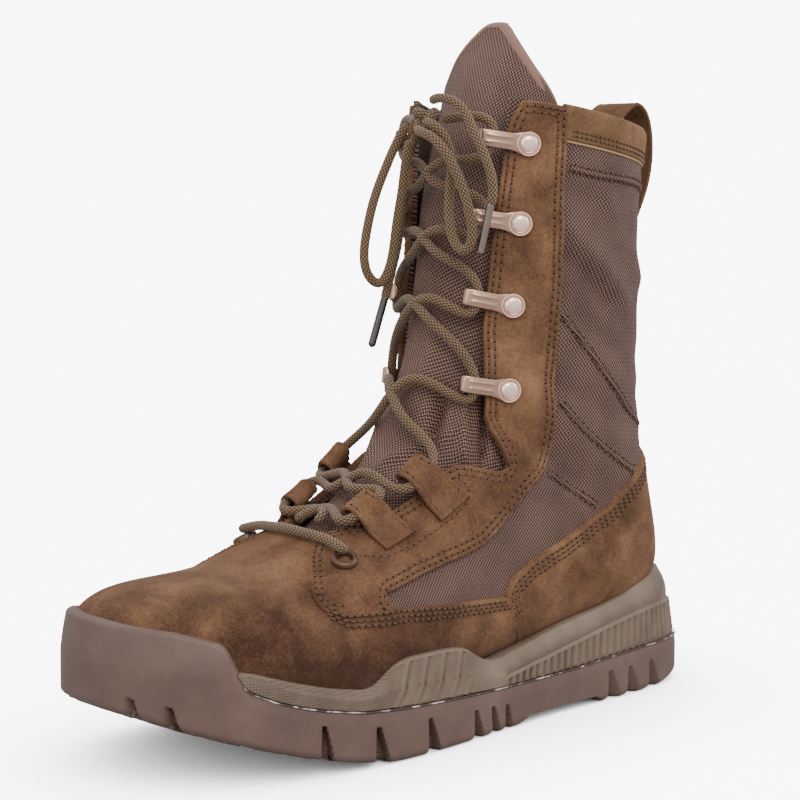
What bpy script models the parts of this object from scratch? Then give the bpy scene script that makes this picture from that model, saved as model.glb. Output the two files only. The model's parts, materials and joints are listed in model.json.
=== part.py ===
"""Desert boot, left foot: an eight inch suede and nylon boot on a lugged rubber sole.

Frame: the toe points to -Y, the wearer's left (the boot's outer side) is +X, +Z is up and the
sole stands on z = 0. Sizes below are in millimetres and meshes are made in metres.

The upper and everything sewn to it come from one function, the last: a row of closed sections
that fan from upright ones at the toe to nearly level ones at the collar. A place on the last is
a section number s (0 at the toe tip, 15 above the collar) and a turn t round the section's
girth (0 on top of the foot, 1 under the foot or behind the heel, + lateral, - medial).
"""
import math

import bmesh
import bpy
import numpy as np

MM = 0.001
GAP = 0.3
CENTRE_X = 0.22
CENTRE_Y = -5.25

# ---- The last --------------------------------------------------------------------------------
# A section's plane runs from its top point to its back (or under) point. The half widths are to
# the lateral and medial side, widest is the height of the widest place as a share of the
# section, and the two exponents are the fullness of the section's upper and lower half.
LAST_COLUMNS = ("top_y", "top_z", "back_y", "back_z", "lateral", "medial",
                "widest", "top_n", "low_n")
LAST_ROWS = (
    (-146.0, 63.0, -146.0, 36.0, 36.0, 48.0, 0.42, 2.6, 5.0),
    (-128.0, 66.8, -128.0, 31.0, 41.0, 50.0, 0.42, 2.5, 5.0),
    (-105.0, 66.5, -105.0, 26.0, 46.0, 51.0, 0.42, 2.3, 5.0),
    (-83.0, 68.8, -80.0, 22.0, 49.0, 50.0, 0.42, 2.2, 5.0),
    (-62.0, 76.5, -50.0, 22.0, 49.0, 46.0, 0.42, 2.1, 5.0),
    (-45.0, 83.5, -16.0, 24.0, 46.0, 41.5, 0.42, 2.1, 4.8),
    (-29.0, 95.5, 22.0, 28.0, 42.0, 38.0, 0.42, 2.1, 4.5),
    (-14.0, 111.5, 60.0, 33.0, 38.5, 36.0, 0.42, 2.1, 4.2),
    (-5.0, 128.5, 99.0, 36.0, 37.0, 37.0, 0.42, 2.1, 3.6),
    (1.0, 143.5, 126.5, 47.0, 37.0, 38.0, 0.42, 2.1, 2.6),
    (5.0, 158.0, 122.5, 76.0, 38.0, 39.0, 0.43, 2.1, 2.4),
    (8.0, 172.0, 117.5, 107.0, 39.0, 39.5, 0.44, 2.1, 2.2),
    (10.5, 188.0, 115.0, 139.0, 40.0, 40.0, 0.45, 2.1, 2.2),
    (12.0, 205.0, 113.0, 172.0, 40.5, 40.5, 0.46, 2.1, 2.2),
    (13.0, 225.0, 112.8, 206.0, 41.0, 41.5, 0.46, 2.1, 2.2),
    (13.5, 252.0, 114.0, 246.0, 42.0, 42.5, 0.46, 2.1, 2.2),
)
TOE_BOX_Y = -60.0
TOE_SPAN = 86.0
TOE_PLAN_N = 2.8
TOE_SIDE_N = 3.2
TOE_MIDDLE = 0.42
DENSE = 181

# ---- The upper -------------------------------------------------------------------------------
WALL = 2.4
OVERLAY = 1.5
OVERLAY_LOW = GAP
OVERLAY_HIGH = GAP + OVERLAY
CUP = OVERLAY_HIGH + GAP
COLLAR_Y = 44.0
COLLAR_Z = 244.0
COLLAR_SLOPE = -0.16
CUFF_DEPTH = 13.0
SECTIONS = (0.0, 0.12, 0.5, 1.2, 2.2, 3.3, 4.4, 5.5, 6.6, 7.7, 8.6, 9.5, 10.8, 12.2, 13.6,
            15.3)
TALLER = SECTIONS[:-1] + (15.5,)
TURNS = 18
FLOOR_FLANGE = 0.80
FLOOR_SECTIONS = (0.4, 1.0, 2.0, 3.2, 4.4, 5.6, 6.8, 7.8, 8.4)

# Edges of the throat and of the eyestays: section, turn of the throat edge, turn of the back edge
THROAT_ROWS = ((4.22, 0.02), (4.26, 0.05), (4.35, 0.078), (4.6, 0.088), (4.9, 0.108),
               (5.2, 0.135), (5.75, 0.162), (6.1, 0.172), (6.5, 0.182), (6.9, 0.182),
               (7.2, 0.192), (7.33, 0.208), (7.55, 0.252), (7.75, 0.29), (7.95, 0.294),
               (8.15, 0.252), (8.3, 0.212), (8.5, 0.185), (9.25, 0.16), (10.35, 0.152),
               (12.2, 0.165), (13.7, 0.188), (15.7, 0.212))
EYESTAY_ROWS = ((3.18, 0.3, 0.33), (3.25, 0.262, 0.35), (3.4, 0.22, 0.367), (3.6, 0.172, 0.38),
                (3.85, 0.125, 0.383), (4.2, 0.09, 0.38), (4.6, 0.098, 0.374), (4.9, 0.118, 0.371),
                (5.2, 0.145, 0.37), (5.75, 0.172, 0.382), (6.1, 0.182, 0.396),
                (6.5, 0.192, 0.409), (6.9, 0.192, 0.403), (7.2, 0.202, 0.396),
                (7.33, 0.218, 0.393), (7.55, 0.262, 0.388), (7.75, 0.3, 0.384),
                (7.95, 0.304, 0.382), (8.15, 0.262, 0.381), (8.3, 0.222, 0.381),
                (8.5, 0.195, 0.38), (9.25, 0.17, 0.365), (10.35, 0.162, 0.369),
                (12.2, 0.175, 0.38), (13.7, 0.198, 0.379), (15.2, 0.222, 0.379))
# Inner edge of the vamp's opening on top: full width to the throat, then the side bands
VAMP_OPENING = ((4.22, 0.015), (4.26, 0.055), (4.35, 0.088), (4.4, 0.2), (4.45, 0.43),
                (4.8, 0.47), (5.7, 0.54), (6.4, 0.62), (7.0, 0.69))
VAMP_LAST_SECTION = 6.8
COUNTER_ROWS = ((6.15, 0.66), (6.28, 0.575), (6.5, 0.547), (6.95, 0.54), (7.75, 0.55),
                (8.45, 0.555), (9.25, 0.605), (9.85, 0.685), (10.45, 0.785), (10.9, 0.9),
                (11.0, 0.97))
CUFF_ROWS = ((13.8, 0.387), (15.2, 0.387))
SEAM = 0.006
SEAM_BELOW = 0.05
ROW_STEP = 1.3
# how far the inner and outer sheet of each cutter or blank stand from the last's surface
THROAT_SHEETS = (-9.0, 7.0)
PANEL_SHEETS = (-1.5, 4.5)
SEAM_SHEETS = (-2.0, 5.0)
OPENING_SHEETS = (-5.0, 9.0)
# the plain blocks that cut the floor, the collar and the upper's under side
CUTTER_HALF_WIDTH = 90.0
FLOOR_BLOCK_Y = 175.0
FLOOR_BLOCK_Z = -60.0
COLLAR_BLOCK_Y = (-80.0, 200.0)
COLLAR_BLOCK_Z = 340.0
FLOOR_OPENING_Z = -20.0
FLOOR_OPENING_ABOVE = 3.0
PANELS_ABOVE_PLANTAR = 4.0

# ---- Tongue and insole -----------------------------------------------------------------------
TONGUE_THICK = 4.5
TONGUE_UNDER = WALL + 1.9
TONGUE_BULGE = 2.6
TONGUE_LEAN = 30.0
TONGUE_LEAN_FROM = 195.0
TONGUE_LEAN_TO = 280.0
TONGUE_ROWS = ((4.4, 0.11), (4.9, 0.18), (5.6, 0.235), (6.5, 0.26), (7.2, 0.31), (7.7, 0.35),
               (8.2, 0.31), (8.7, 0.25), (9.7, 0.225), (10.9, 0.22), (12.2, 0.24), (13.4, 0.28),
               (14.2, 0.33), (14.75, 0.36), (14.98, 0.3), (15.3, 0.19), (15.65, 0.1), (15.95, 0.03))
TONGUE_STEPS = 7
BINDING_WIDTH = 5.0
BINDING_THICK = 1.0
BINDING_LIFT = 0.8
BINDING_FROM = 14.8
BINDING_STEP = 0.2
# the rim's inward direction: towards a place this far below the binding's ends and this near
# the middle
BINDING_BELOW = 0.2
BINDING_MIDDLE = 0.35
INSOLE_THICK = 4.5
PLANTAR_Y = (-146.0, -128.0, -105.0, -80.0, -50.0, -16.0, 22.0, 60.0, 100.0, 129.0)
PLANTAR_Z = (36.0, 31.0, 26.0, 22.0, 22.0, 24.0, 28.0, 33.0, 36.5, 40.0)

# ---- The sole --------------------------------------------------------------------------------
SOLE_TOE_Y = -152.0
SOLE_HEEL_Y = 141.5
SOLE_MIDDLE_Y = -1.0
SOLE_TOE_N = 3.3
SOLE_HEEL_N = 4.2
# place along the boot, lateral edge, medial edge; the two ends are rounded by the exponents
SOLE_EDGES = ((-152.0, 40.0, -44.0), (-135.0, 48.8, -54.2), (-120.0, 53.1, -57.7),
              (-105.0, 55.7, -58.5), (-90.0, 56.5, -57.5), (-60.0, 55.4, -53.4),
              (-25.0, 52.5, -47.5), (15.0, 46.0, -41.0), (55.0, 41.0, -39.5),
              (95.0, 40.0, -40.5), (143.0, 39.0, -40.5))
SOLE_STATIONS = 48
STATIONS_AT_Y = (-125.0, -122.5, -120.5, -117.01, -114.0)
# heights as (place along the boot, height): the tread, the joint of the outsole with the
# midsole, the top of the midsole's ribbed band, and the midsole's rim
TREAD_Z = ((-152.0, 27.5), (-135.0, 21.0), (-120.0, 16.0), (-105.0, 11.5), (-90.0, 7.3),
           (-75.0, 3.7), (-60.0, 1.0), (-48.0, 0.0), (118.0, 0.0), (142.0, 3.0))
JOINT_Z = ((-117.0, 36.5), (-114.0, 33.8), (-105.5, 30.0), (-95.5, 27.0), (-85.0, 24.5),
           (-68.0, 21.4), (-49.0, 20.0), (-26.0, 18.9), (12.0, 17.2), (39.0, 16.7),
           (60.0, 17.0), (78.0, 18.1), (100.0, 19.2))
RIM_Z = ((-117.5, 41.2), (-100.0, 36.0), (-85.0, 32.1), (-66.0, 28.7), (-60.0, 32.0),
         (-54.0, 36.5), (-46.0, 38.2), (-25.0, 38.2), (-14.0, 37.0), (-5.0, 32.0), (2.0, 28.8),
         (9.0, 28.4), (37.0, 33.0), (57.0, 36.4), (75.0, 38.9), (91.0, 41.6), (104.0, 44.7),
         (116.0, 47.4), (128.0, 49.0))
RIM_INSET = ((-60.0, 3.0), (-50.0, 1.5), (-15.0, 1.5), (0.0, 2.5), (60.0, 2.5), (100.0, 4.0),
             (125.0, 7.0), (141.0, 8.0))
BAND_Z = ((-117.5, 40.0), (-107.0, 35.8), (-100.0, 32.6), (-85.0, 28.4), (-68.0, 25.0), (-46.0, 27.0),
          (-14.0, 26.0), (8.0, 20.0), (14.0, 20.5), (40.0, 23.9), (61.0, 27.4), (79.0, 30.6),
          (94.0, 32.9), (108.0, 34.3))
BAND_INSET = ((60.0, 0.6), (100.0, 1.0), (125.0, 2.4), (141.0, 3.0))
BUMPER_BACK_Y = -117.0
MIDSOLE_FRONT_LOW_Y = -71.0
MIDSOLE_FRONT_HIGH_Y = -127.1
BUMPER_Z = ((-152.0, 57.5), (-139.0, 55.7), (-132.0, 53.7), (-125.0, 51.5), (-122.5, 48.8),
            (-120.5, 44.0), (-117.0, 36.5))
BUMPER_LEAN = ((-125.0, 2.5), (-122.5, 0.5))
WALL_BELOW_TOP = 1.5
WALL_TOP_Z = 45.0
TREAD_EDGE = ((3.0, 0.0), (0.8, 2.6), (0.0, 8.5))
TREAD_GROOVE = 3.5
ARCH_LIFT = 3.2
ARCH_Y = (20.0, 27.0, 70.0, 77.0)
# side notches between the lugs: place along the boot, width at the tread, height, lean
NOTCHES = ((-131.0, 4.0, 8.0, 1.0), (-85.0, 5.0, 13.0, 2.0), (-59.0, 6.5, 14.0, 3.0),
           (-32.0, 6.5, 14.0, 3.5), (-8.0, 5.5, 12.0, 3.0), (5.0, 4.5, 11.0, 3.0),
           (90.0, 4.5, 11.0, 3.0), (103.0, 4.5, 11.0, 3.0), (119.0, 4.0, 9.0, 2.5))
NOTCH_DEPTH = 4.5
CUTTER_REACH = 4.0
CUTTER_BELOW = 3.0
GROOVES_Y = (-131.0, -108.0, -85.0, -59.0, -32.0, -8.0, 90.0, 103.0, 119.0)
GROOVE_WIDTH = 4.0
GROOVE_BEND = 7.0
GROOVE_REACH = 62.0
TREAD_LINES_Y = ((-122.0, 8.0), (84.0, 126.0))
TREAD_LINE_SHARE = 0.173
TREAD_LINE_WIDTH = 3.5
TREAD_LINE_DEPTH = 3.1
RIB_PITCH = 9.0
RIB_WIDTH = 3.0
RIB_DEPTH = 1.1
RIB_FROM_Y = 14.0
RIDGES_Y = (-47.0, -37.0, -27.0, -17.0)
RIDGE_WIDTH = 3.5

# ---- Fastenings ------------------------------------------------------------------------------
LACE_R = 1.9
CORD_SIDES = 6
TUBE_START = (0.3, 0.5, 0.8)
EYELET_PLACE = (4.1, 0.23)
EYELET_OUTER = 5.2
EYELET_SIDES = 12
# the ring's section: distance from its middle, height
EYELET_PROFILE = ((2.6, 0.0), (2.9, 1.3), (4.0, 1.7), (EYELET_OUTER, 0.0))
# each hook: section, turn, and how many degrees its arm dips
HOOK_PLACES = ((9.33, 0.231, 25.0), (11.2, 0.236, 15.0), (12.88, 0.251, 8.0),
               (14.25, 0.268, 0.0))
HOOK_DISC_R = 5.0
HOOK_CAP_R = 4.0
HOOK_CAP_H = 2.0
HOOK_PLATE = 1.0
HOOK_ARM_HALF = 3.3
HOOK_END_HALF = 0.8
HOOK_NECK_FROM = 2.0
HOOK_NECK = 6.0
HOOK_SEAT_R = HOOK_DISC_R + 3.5
HOOK_CAP_SIDES = 8
# side profile of the arm: distance from the rivet towards the throat, height over the plate
HOOK_PATH = ((-5.0, 0.0), (-3.4, 0.0), (0.0, 0.0), (4.5, 0.1), (9.0, 0.6), (17.0, 0.8),
             (19.4, -0.3), (19.6, -2.8))
# leather lace loops: section and turn of the tab's root, and half width at root and fold
TAB_PLACES = ((5.33, 0.262, 8.2, 6.6), (6.55, 0.283, 9.5, 6.5))
TAB_THICK = 1.2
# side profile of a tab: distance from its root towards the throat, height over the eyestay
TAB_PATH = ((0.0, 0.2), (6.0, 0.4), (10.0, 1.8), (13.4, 4.9), (16.6, 6.6), (20.0, 6.2),
            (21.9, 3.6), (20.8, 1.3), (17.5, 1.0), (14.0, 0.9))
TAB_LACE = (17.6, 3.4)
HOOK_LACE = (16.0, -2.0)
LACE_LIFT = 3.3
LACE_START = (4.6, 0.04)
LACE_TURN = 0.14
CROSSING_SHARES = (0.34, 0.66)
TAB_CLEAR = 3.6
HOOK_CLEAR = 2.8
LACE_BAR = ((4.1, 0.225, 7.1), (4.13, 0.15, 5.4), (4.1, 0.08, 4.5), (4.08, 0.0, 4.4))
KNOT_CENTRE = (0.5, 6.8, 237.6)
KNOT_RADII = (7.0, 5.0, 6.0)
KNOT_ROWS = 5
KNOT_SIDES = 8
KNOT_LACE_ENDS = ((8.4, 8.4, 237.8), (-7.6, 9.2, 236.8))
CORD_STEP = 11.5
# each cord's route from the knot, chosen by hand
LOOP_LEFT = ((-5.7, 2.4, 236.3), (-9.5, 0.5, 229.0), (-12.0, -3.0, 219.0), (-14.0, -7.0, 207.0),
             (-14.5, -10.5, 194.0), (-14.5, -11.8, 183.5), (-14.0, -9.5, 175.8),
             (-13.0, -5.0, 173.2), (-12.0, -1.5, 177.5), (-11.0, 0.5, 186.5),
             (-10.0, 1.5, 198.0), (-7.5, 1.8, 210.0), (-4.5, 1.0, 221.5), (-2.0, 1.0, 230.0))
LOOP_RIGHT = ((6.0, 1.4, 236.7), (13.5, 0.8, 234.5), (17.0, 3.2, 228.5), (18.3, 4.4, 219.5),
              (17.6, 4.2, 208.5), (18.2, 4.0, 197.5), (21.0, 4.6, 189.5), (25.5, 5.4, 187.0),
              (28.6, 6.0, 191.5), (28.8, 5.0, 199.5), (27.2, 2.4, 210.5), (23.6, -0.6, 221.0),
              (17.0, -3.2, 229.5), (10.0, -3.4, 232.5), (4.5, -1.4, 234.0))
END_LEFT = ((-3.6, 5.9, 231.9), (-11.5, 7.6, 222.0), (-15.4, 8.6, 205.0), (-16.0, 7.5, 190.0),
            (-16.0, 3.5, 176.0), (-16.0, 0.5, 166.0))
AGLET_LEFT = ((-16.0, 0.3, 165.0), (-15.8, -6.6, 147.3))
END_RIGHT = ((4.6, 6.4, 245.2), (10.0, 4.5, 246.0), (17.0, 5.0, 245.0), (22.5, 6.5, 241.0),
             (27.5, 7.0, 233.5), (32.5, 8.0, 224.5), (35.4, 9.5, 215.5), (35.8, 10.0, 209.0),
             (34.8, 9.8, 204.4))
AGLET_RIGHT = ((34.5, 9.8, 203.2), (29.4, 9.6, 185.4))
AGLET_R = 1.6
PULL_HALF = 11.0
PULL_THICK = 1.8
PULL_BOW = 1.25
# the pull loop's path over the collar: section, distance out from the wall
PULL_PATH = ((14.3, -4.7), (14.62, -4.7), (14.84, -2.8), (14.93, 1.5), (14.95, 6.0),
             (14.86, 11.5), (14.62, 14.6), (14.35, 14.4), (14.1, 12.0), (13.88, 8.6),
             (13.6, 5.0), (13.3, 3.2))

LEATHER = (0.235, 0.128, 0.068)
NYLON = (0.118, 0.075, 0.062)
TRIM = (0.300, 0.190, 0.150)
RUBBER = (0.150, 0.092, 0.078)
FOAM = (0.235, 0.185, 0.130)
CORD = (0.200, 0.135, 0.070)
METAL = (0.640, 0.480, 0.400)
TIP = (0.060, 0.045, 0.040)
FOOTBED = (0.050, 0.040, 0.035)


# ---- Curves and sections ---------------------------------------------------------------------
def natural_spline(places, values):
    """Return a function through the values: a cubic spline with straight ends."""
    places = np.asarray(places, float)
    values = np.asarray(values, float)
    count = len(places)
    step = np.diff(places)
    matrix = np.eye(count)
    right = np.zeros(values.shape)
    for i in range(1, count - 1):
        matrix[i, i - 1:i + 2] = (step[i - 1], 2 * (step[i - 1] + step[i]), step[i])
        slope_after = (values[i + 1] - values[i]) / step[i]
        slope_before = (values[i] - values[i - 1]) / step[i - 1]
        right[i] = 6 * (slope_after - slope_before)
    bend = np.linalg.solve(matrix, right)

    def value(place):
        i = int(np.clip(np.searchsorted(places, place, side="right") - 1, 0, count - 2))
        after = place - places[i]
        before = places[i + 1] - place
        cubic = (bend[i] * before**3 + bend[i + 1] * after**3) / (6 * step[i])
        start = (values[i] / step[i] - bend[i] * step[i] / 6) * before
        end = (values[i + 1] / step[i] - bend[i + 1] * step[i] / 6) * after
        return cubic + start + end

    return value


def table(rows, place):
    """Read a two column table at a place, straight between its rows."""
    columns = np.array(rows)
    return np.interp(place, columns[:, 0], columns[:, 1])


def refine(rows, step):
    """Add straight steps between a table's rows so that none is longer than step."""
    rows = [np.array(row) for row in rows]
    fine = [rows[0]]
    for before, after in zip(rows, rows[1:]):
        pieces = max(1, math.ceil((after[0] - before[0]) / step))
        for k in range(1, pieces + 1):
            fine.append(before + (after - before) * k / pieces)
    return fine


last_row = natural_spline(range(len(LAST_ROWS)), LAST_ROWS)
plantar_height = natural_spline(PLANTAR_Y, PLANTAR_Z)


def superellipse(widest, top_n, low_n, angle):
    """Share of the half width and of the height at an angle: 0 is the top, pi the bottom."""
    cosine = np.cos(angle)
    exponent = np.where(cosine > 0, top_n, low_n)
    across = np.abs(np.sin(angle)) ** (2 / exponent)
    rise = np.abs(cosine) ** (2 / exponent)
    height = np.where(cosine > 0, widest + (1 - widest) * rise, widest * (1 - rise))
    return across, height


def ring(s, turns, grow=0.0):
    """Points in mm on section s at some turns of its girth, grown outward."""
    row = dict(zip(LAST_COLUMNS, last_row(s)))
    top = np.array((row["top_y"], row["top_z"]))
    back = np.array((row["back_y"], row["back_z"]))
    length = np.linalg.norm(top - back)
    axis = (top - back) / length
    reach = float(np.clip((TOE_BOX_Y - row["top_y"]) / TOE_SPAN, 0.0, 1.0))
    close_across = (1 - reach**TOE_PLAN_N) ** (1 / TOE_PLAN_N)
    close_height = (1 - reach**TOE_SIDE_N) ** (1 / TOE_SIDE_N)
    turns = (np.asarray(turns, float) + 1) % 2 - 1
    shape = (row["widest"], row["top_n"], row["low_n"])
    angles = np.linspace(0.0, math.pi, DENSE)
    across, height = superellipse(*shape, angles)
    points = np.empty((len(turns), 3))
    for side, half in ((1, row["lateral"]), (-1, row["medial"])):
        run = np.hypot(np.diff(across * half), np.diff(height * length))
        share = np.concatenate(([0.0], np.cumsum(run))) / run.sum()
        chosen = turns >= 0 if side > 0 else turns < 0
        angle = np.interp(np.abs(turns[chosen]), share, angles)
        a, h = superellipse(*shape, angle)
        along = h * (length + 2 * grow) - grow
        middle = TOE_MIDDLE * (length + 2 * grow) - grow
        along = middle + (along - middle) * close_height
        points[chosen, 0] = side * a * (half + grow) * close_across
        points[chosen, 1] = back[0] + axis[0] * along
        points[chosen, 2] = back[1] + axis[1] * along
    ahead = np.minimum(points[:, 1] - TOE_BOX_Y, 0.0)
    points[:, 1] += ahead * grow / TOE_SPAN
    return points


def point(s, t, grow=0.0):
    """One point in mm on the last."""
    return ring(s, (t,), grow)[0]


def frame_at(s, t, grow=0.0):
    """Place, direction towards the throat, direction up the boot and outward normal."""
    place = point(s, t, grow)
    around = point(s, t - math.copysign(0.01, t), grow) - place
    around /= np.linalg.norm(around)
    along = point(s + 0.05, t, grow) - point(s - 0.05, t, grow)
    along -= around * np.dot(along, around)
    along /= np.linalg.norm(along)
    normal = np.cross(along, around)
    if np.dot(normal, point(s, t, grow + 1.0) - place) < 0:
        normal = -normal
    return place, around, along, normal


# ---- Making objects --------------------------------------------------------------------------
def clear_scene():
    for item in list(bpy.data.objects):
        bpy.data.objects.remove(item, do_unlink=True)


def material(name, colour, roughness, metallic=0.0):
    made = bpy.data.materials.new(name)
    made.use_nodes = True
    shader = made.node_tree.nodes["Principled BSDF"]
    shader.inputs["Base Color"].default_value = (*colour, 1.0)
    shader.inputs["Roughness"].default_value = roughness
    shader.inputs["Metallic"].default_value = metallic
    made.diffuse_color = (*colour, 1.0)
    return made


def add_object(name, vertices, faces, look=None, curved=False):
    """Make a mesh object from points in mm; one with no look is a cutter.

    A curved one's faces aren't quite flat, so they are split before the Booleans read them.
    """
    places = (np.asarray(vertices, float) - (CENTRE_X, CENTRE_Y, 0.0)) * MM
    mesh = bpy.data.meshes.new(name)
    mesh.from_pydata(places.tolist(), [], faces)
    work = bmesh.new()
    work.from_mesh(mesh)
    bmesh.ops.recalc_face_normals(work, faces=work.faces)
    if curved:
        bmesh.ops.triangulate(work, faces=work.faces, quad_method="FIXED", ngon_method="BEAUTY")
    work.to_mesh(mesh)
    work.free()
    made = bpy.data.objects.new(name, mesh)
    bpy.context.scene.collection.objects.link(made)
    if look is None:
        made.hide_render = True
        made.display_type = "WIRE"
    else:
        mesh.materials.append(look)
        mesh.shade_smooth()
        mesh.set_sharp_from_angle(angle=math.radians(35))
    return made


def boolean(target, cutter, operation="DIFFERENCE"):
    step = target.modifiers.new(operation.lower() + "_" + cutter.name, "BOOLEAN")
    step.operation = operation
    step.solver = "EXACT"
    step.object = cutter


def grid_faces(rows, columns, cyclic, offset=0):
    """Quads over a grid of points stored row by row."""
    faces = []
    for i in range(rows - 1):
        for j in range(columns if cyclic else columns - 1):
            k = (j + 1) % columns
            near = offset + i * columns
            far = near + columns
            faces.append((near + j, near + k, far + k, far + j))
    return faces


def form(name, grow, sections, count, look=None):
    """The closed last, grown outward: a pole at the toe tip, rings, and a flat cap on top."""
    turns = -1.0 + 2.0 * np.arange(count) / count
    rings = [ring(s, turns, grow) for s in sections[1:]]
    vertices = [point(sections[0], 0.0, grow)]
    vertices.extend(np.concatenate(rings))
    faces = [(0, 1 + (j + 1) % count, 1 + j) for j in range(count)]
    faces += grid_faces(len(rings), count, True, 1)
    last_ring = 1 + (len(rings) - 1) * count
    faces.append(tuple(range(last_ring, last_ring + count)))
    return add_object(name, vertices, faces, look, curved=True)


def slab(lower, upper):
    """Vertices and faces of the closed solid between two grids of the same shape."""
    lower = np.asarray(lower, float)
    upper = np.asarray(upper, float)
    rows, columns = lower.shape[:2]
    count = rows * columns
    vertices = np.concatenate((lower.reshape(-1, 3), upper.reshape(-1, 3)))
    faces = [face[::-1] for face in grid_faces(rows, columns, False)]
    faces += grid_faces(rows, columns, False, count)
    border = [j for j in range(columns)]
    border += [i * columns + columns - 1 for i in range(1, rows)]
    border += [(rows - 1) * columns + j for j in range(columns - 2, -1, -1)]
    border += [i * columns for i in range(rows - 2, 0, -1)]
    for a, b in zip(border, border[1:] + border[:1]):
        faces.append((a, b, b + count, a + count))
    return vertices, faces


def patch(name, rows, low, high, across, look=None):
    """A curved slab over a region of the last; each row is section, first turn, last turn."""
    lower = [ring(s, np.linspace(a, b, across), low) for s, a, b in rows]
    upper = [ring(s, np.linspace(a, b, across), high) for s, a, b in rows]
    return add_object(name, *slab(lower, upper), look, curved=True)


def prism(outline_low, outline_high, offset=0):
    """Faces of a prism between two loops of the same number of points."""
    count = len(outline_low)
    faces = [tuple(range(offset, offset + count))]
    faces.append(tuple(range(offset + 2 * count - 1, offset + count - 1, -1)))
    for j in range(count):
        k = (j + 1) % count
        faces.append((offset + j, offset + count + j, offset + count + k, offset + k))
    return list(outline_low) + list(outline_high), faces


def prisms(name, pairs, look=None):
    """One object of several separate prisms, each given by its two end loops."""
    vertices = []
    faces = []
    for low, high in pairs:
        more, sides = prism(low, high, len(vertices))
        vertices += more
        faces += sides
    return add_object(name, vertices, faces, look)


def strip(name, path, half_widths, thick, place, look):
    """A flat strip bent along a path of (out, up) points, thick through and wide across."""
    path = np.array(path, float)
    tangent = np.gradient(path, axis=0)
    tangent /= np.linalg.norm(tangent, axis=1, keepdims=True)
    side = np.stack((-tangent[:, 1], tangent[:, 0]), axis=1) * thick / 2
    origin, out, across, up = place
    loops = []
    for middle, offset, half in zip(path, side, half_widths):
        corners = ((middle - offset, -half), (middle + offset, -half),
                   (middle + offset, half), (middle - offset, half))
        loops.append([origin + out * c[0] + up * c[1] + across * w for c, w in corners])
    vertices = [corner for loop in loops for corner in loop]
    faces = grid_faces(len(loops), 4, True)
    end = len(vertices) - 4
    faces += [(0, 1, 2, 3), (end + 3, end + 2, end + 1, end)]
    return add_object(name, vertices, faces, look)


def smooth_route(points, spacing):
    """Points at an even spacing on a smooth curve through a route's points."""
    points = np.array(points, float)
    run = np.concatenate(([0.0], np.cumsum(np.linalg.norm(np.diff(points, axis=0), axis=1))))
    curve = natural_spline(run, points)
    dense = np.array([curve(r) for r in np.linspace(0.0, run[-1], 12 * len(points))])
    step = np.concatenate(([0.0], np.cumsum(np.linalg.norm(np.diff(dense, axis=0), axis=1))))
    count = max(2, round(step[-1] / spacing) + 1)
    even = np.linspace(0.0, step[-1], count)
    return np.stack([np.interp(even, step, dense[:, k]) for k in range(3)], axis=1)


def tube(name, route, radius, sides, look=None):
    """A round tube mesh along a route, with flat ends."""
    route = np.asarray(route, float)
    tangent = np.gradient(route, axis=0)
    tangent /= np.linalg.norm(tangent, axis=1, keepdims=True)
    first = np.cross(tangent[0], TUBE_START)
    first /= np.linalg.norm(first)
    vertices = []
    for place, ahead in zip(route, tangent):
        first = first - ahead * np.dot(first, ahead)
        first /= np.linalg.norm(first)
        second = np.cross(ahead, first)
        for k in range(sides):
            angle = 2 * math.pi * k / sides
            vertices.append(place + radius * (first * math.cos(angle) + second * math.sin(angle)))
    faces = grid_faces(len(route), sides, True)
    faces.append(tuple(range(sides)))
    faces.append(tuple(range(len(vertices) - 1, len(vertices) - sides - 1, -1)))
    return add_object(name, vertices, faces, look)


# ---- Shared cutters --------------------------------------------------------------------------
def floor_block(name, lift):
    """Everything below the last's under side, raised by lift."""
    half = CUTTER_HALF_WIDTH
    lower = []
    upper = []
    for y in (-FLOOR_BLOCK_Y, *PLANTAR_Y, FLOOR_BLOCK_Y):
        height = plantar_height(float(np.clip(y, PLANTAR_Y[0], PLANTAR_Y[-1]))) + lift
        lower.append([(-half, y, FLOOR_BLOCK_Z), (half, y, FLOOR_BLOCK_Z)])
        upper.append([(-half, y, height), (half, y, height)])
    return add_object(name, *slab(lower, upper))


def collar_block(name, drop):
    """Everything above the slanted collar plane, lowered by drop."""
    half = CUTTER_HALF_WIDTH
    lower = []
    upper = []
    for y in COLLAR_BLOCK_Y:
        height = COLLAR_Z + COLLAR_SLOPE * (y - COLLAR_Y) - drop
        lower.append([(-half, y, height), (half, y, height)])
        upper.append([(-half, y, COLLAR_BLOCK_Z), (half, y, COLLAR_BLOCK_Z)])
    return add_object(name, *slab(lower, upper))


def floor_opening(name):
    """A prism through the upper's under side that leaves the lasting flange."""
    lower = []
    upper = []
    for s in FLOOR_SECTIONS:
        row = dict(zip(LAST_COLUMNS, last_row(s)))
        medial, lateral = ring(s, (-0.5, 0.5))[:, 0] * FLOOR_FLANGE
        y = row["back_y"]
        height = row["back_z"] + WALL + FLOOR_OPENING_ABOVE
        lower.append([(medial, y, FLOOR_OPENING_Z), (lateral, y, FLOOR_OPENING_Z)])
        upper.append([(medial, y, height), (lateral, y, height)])
    return add_object(name, *slab(lower, upper))


def mirrored(rows, side):
    """A table of turns for one side: +1 lateral, -1 medial."""
    return [(row[0], *(side * turn for turn in row[1:])) for row in rows]


# ---- Upper -----------------------------------------------------------------------------------
def make_upper(look, cutters):
    upper = form("upper", 0.0, SECTIONS, TURNS, look)
    inner = form("cut_inner", -WALL, TALLER, TURNS)
    throat = patch("cut_throat", [(s, -t, t) for s, t in refine(THROAT_ROWS, ROW_STEP)],
                   *THROAT_SHEETS, 7)
    boolean(upper, inner)
    boolean(upper, floor_opening("cut_floor_opening"))
    boolean(upper, cutters["collar"])
    boolean(upper, throat)
    return upper


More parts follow.
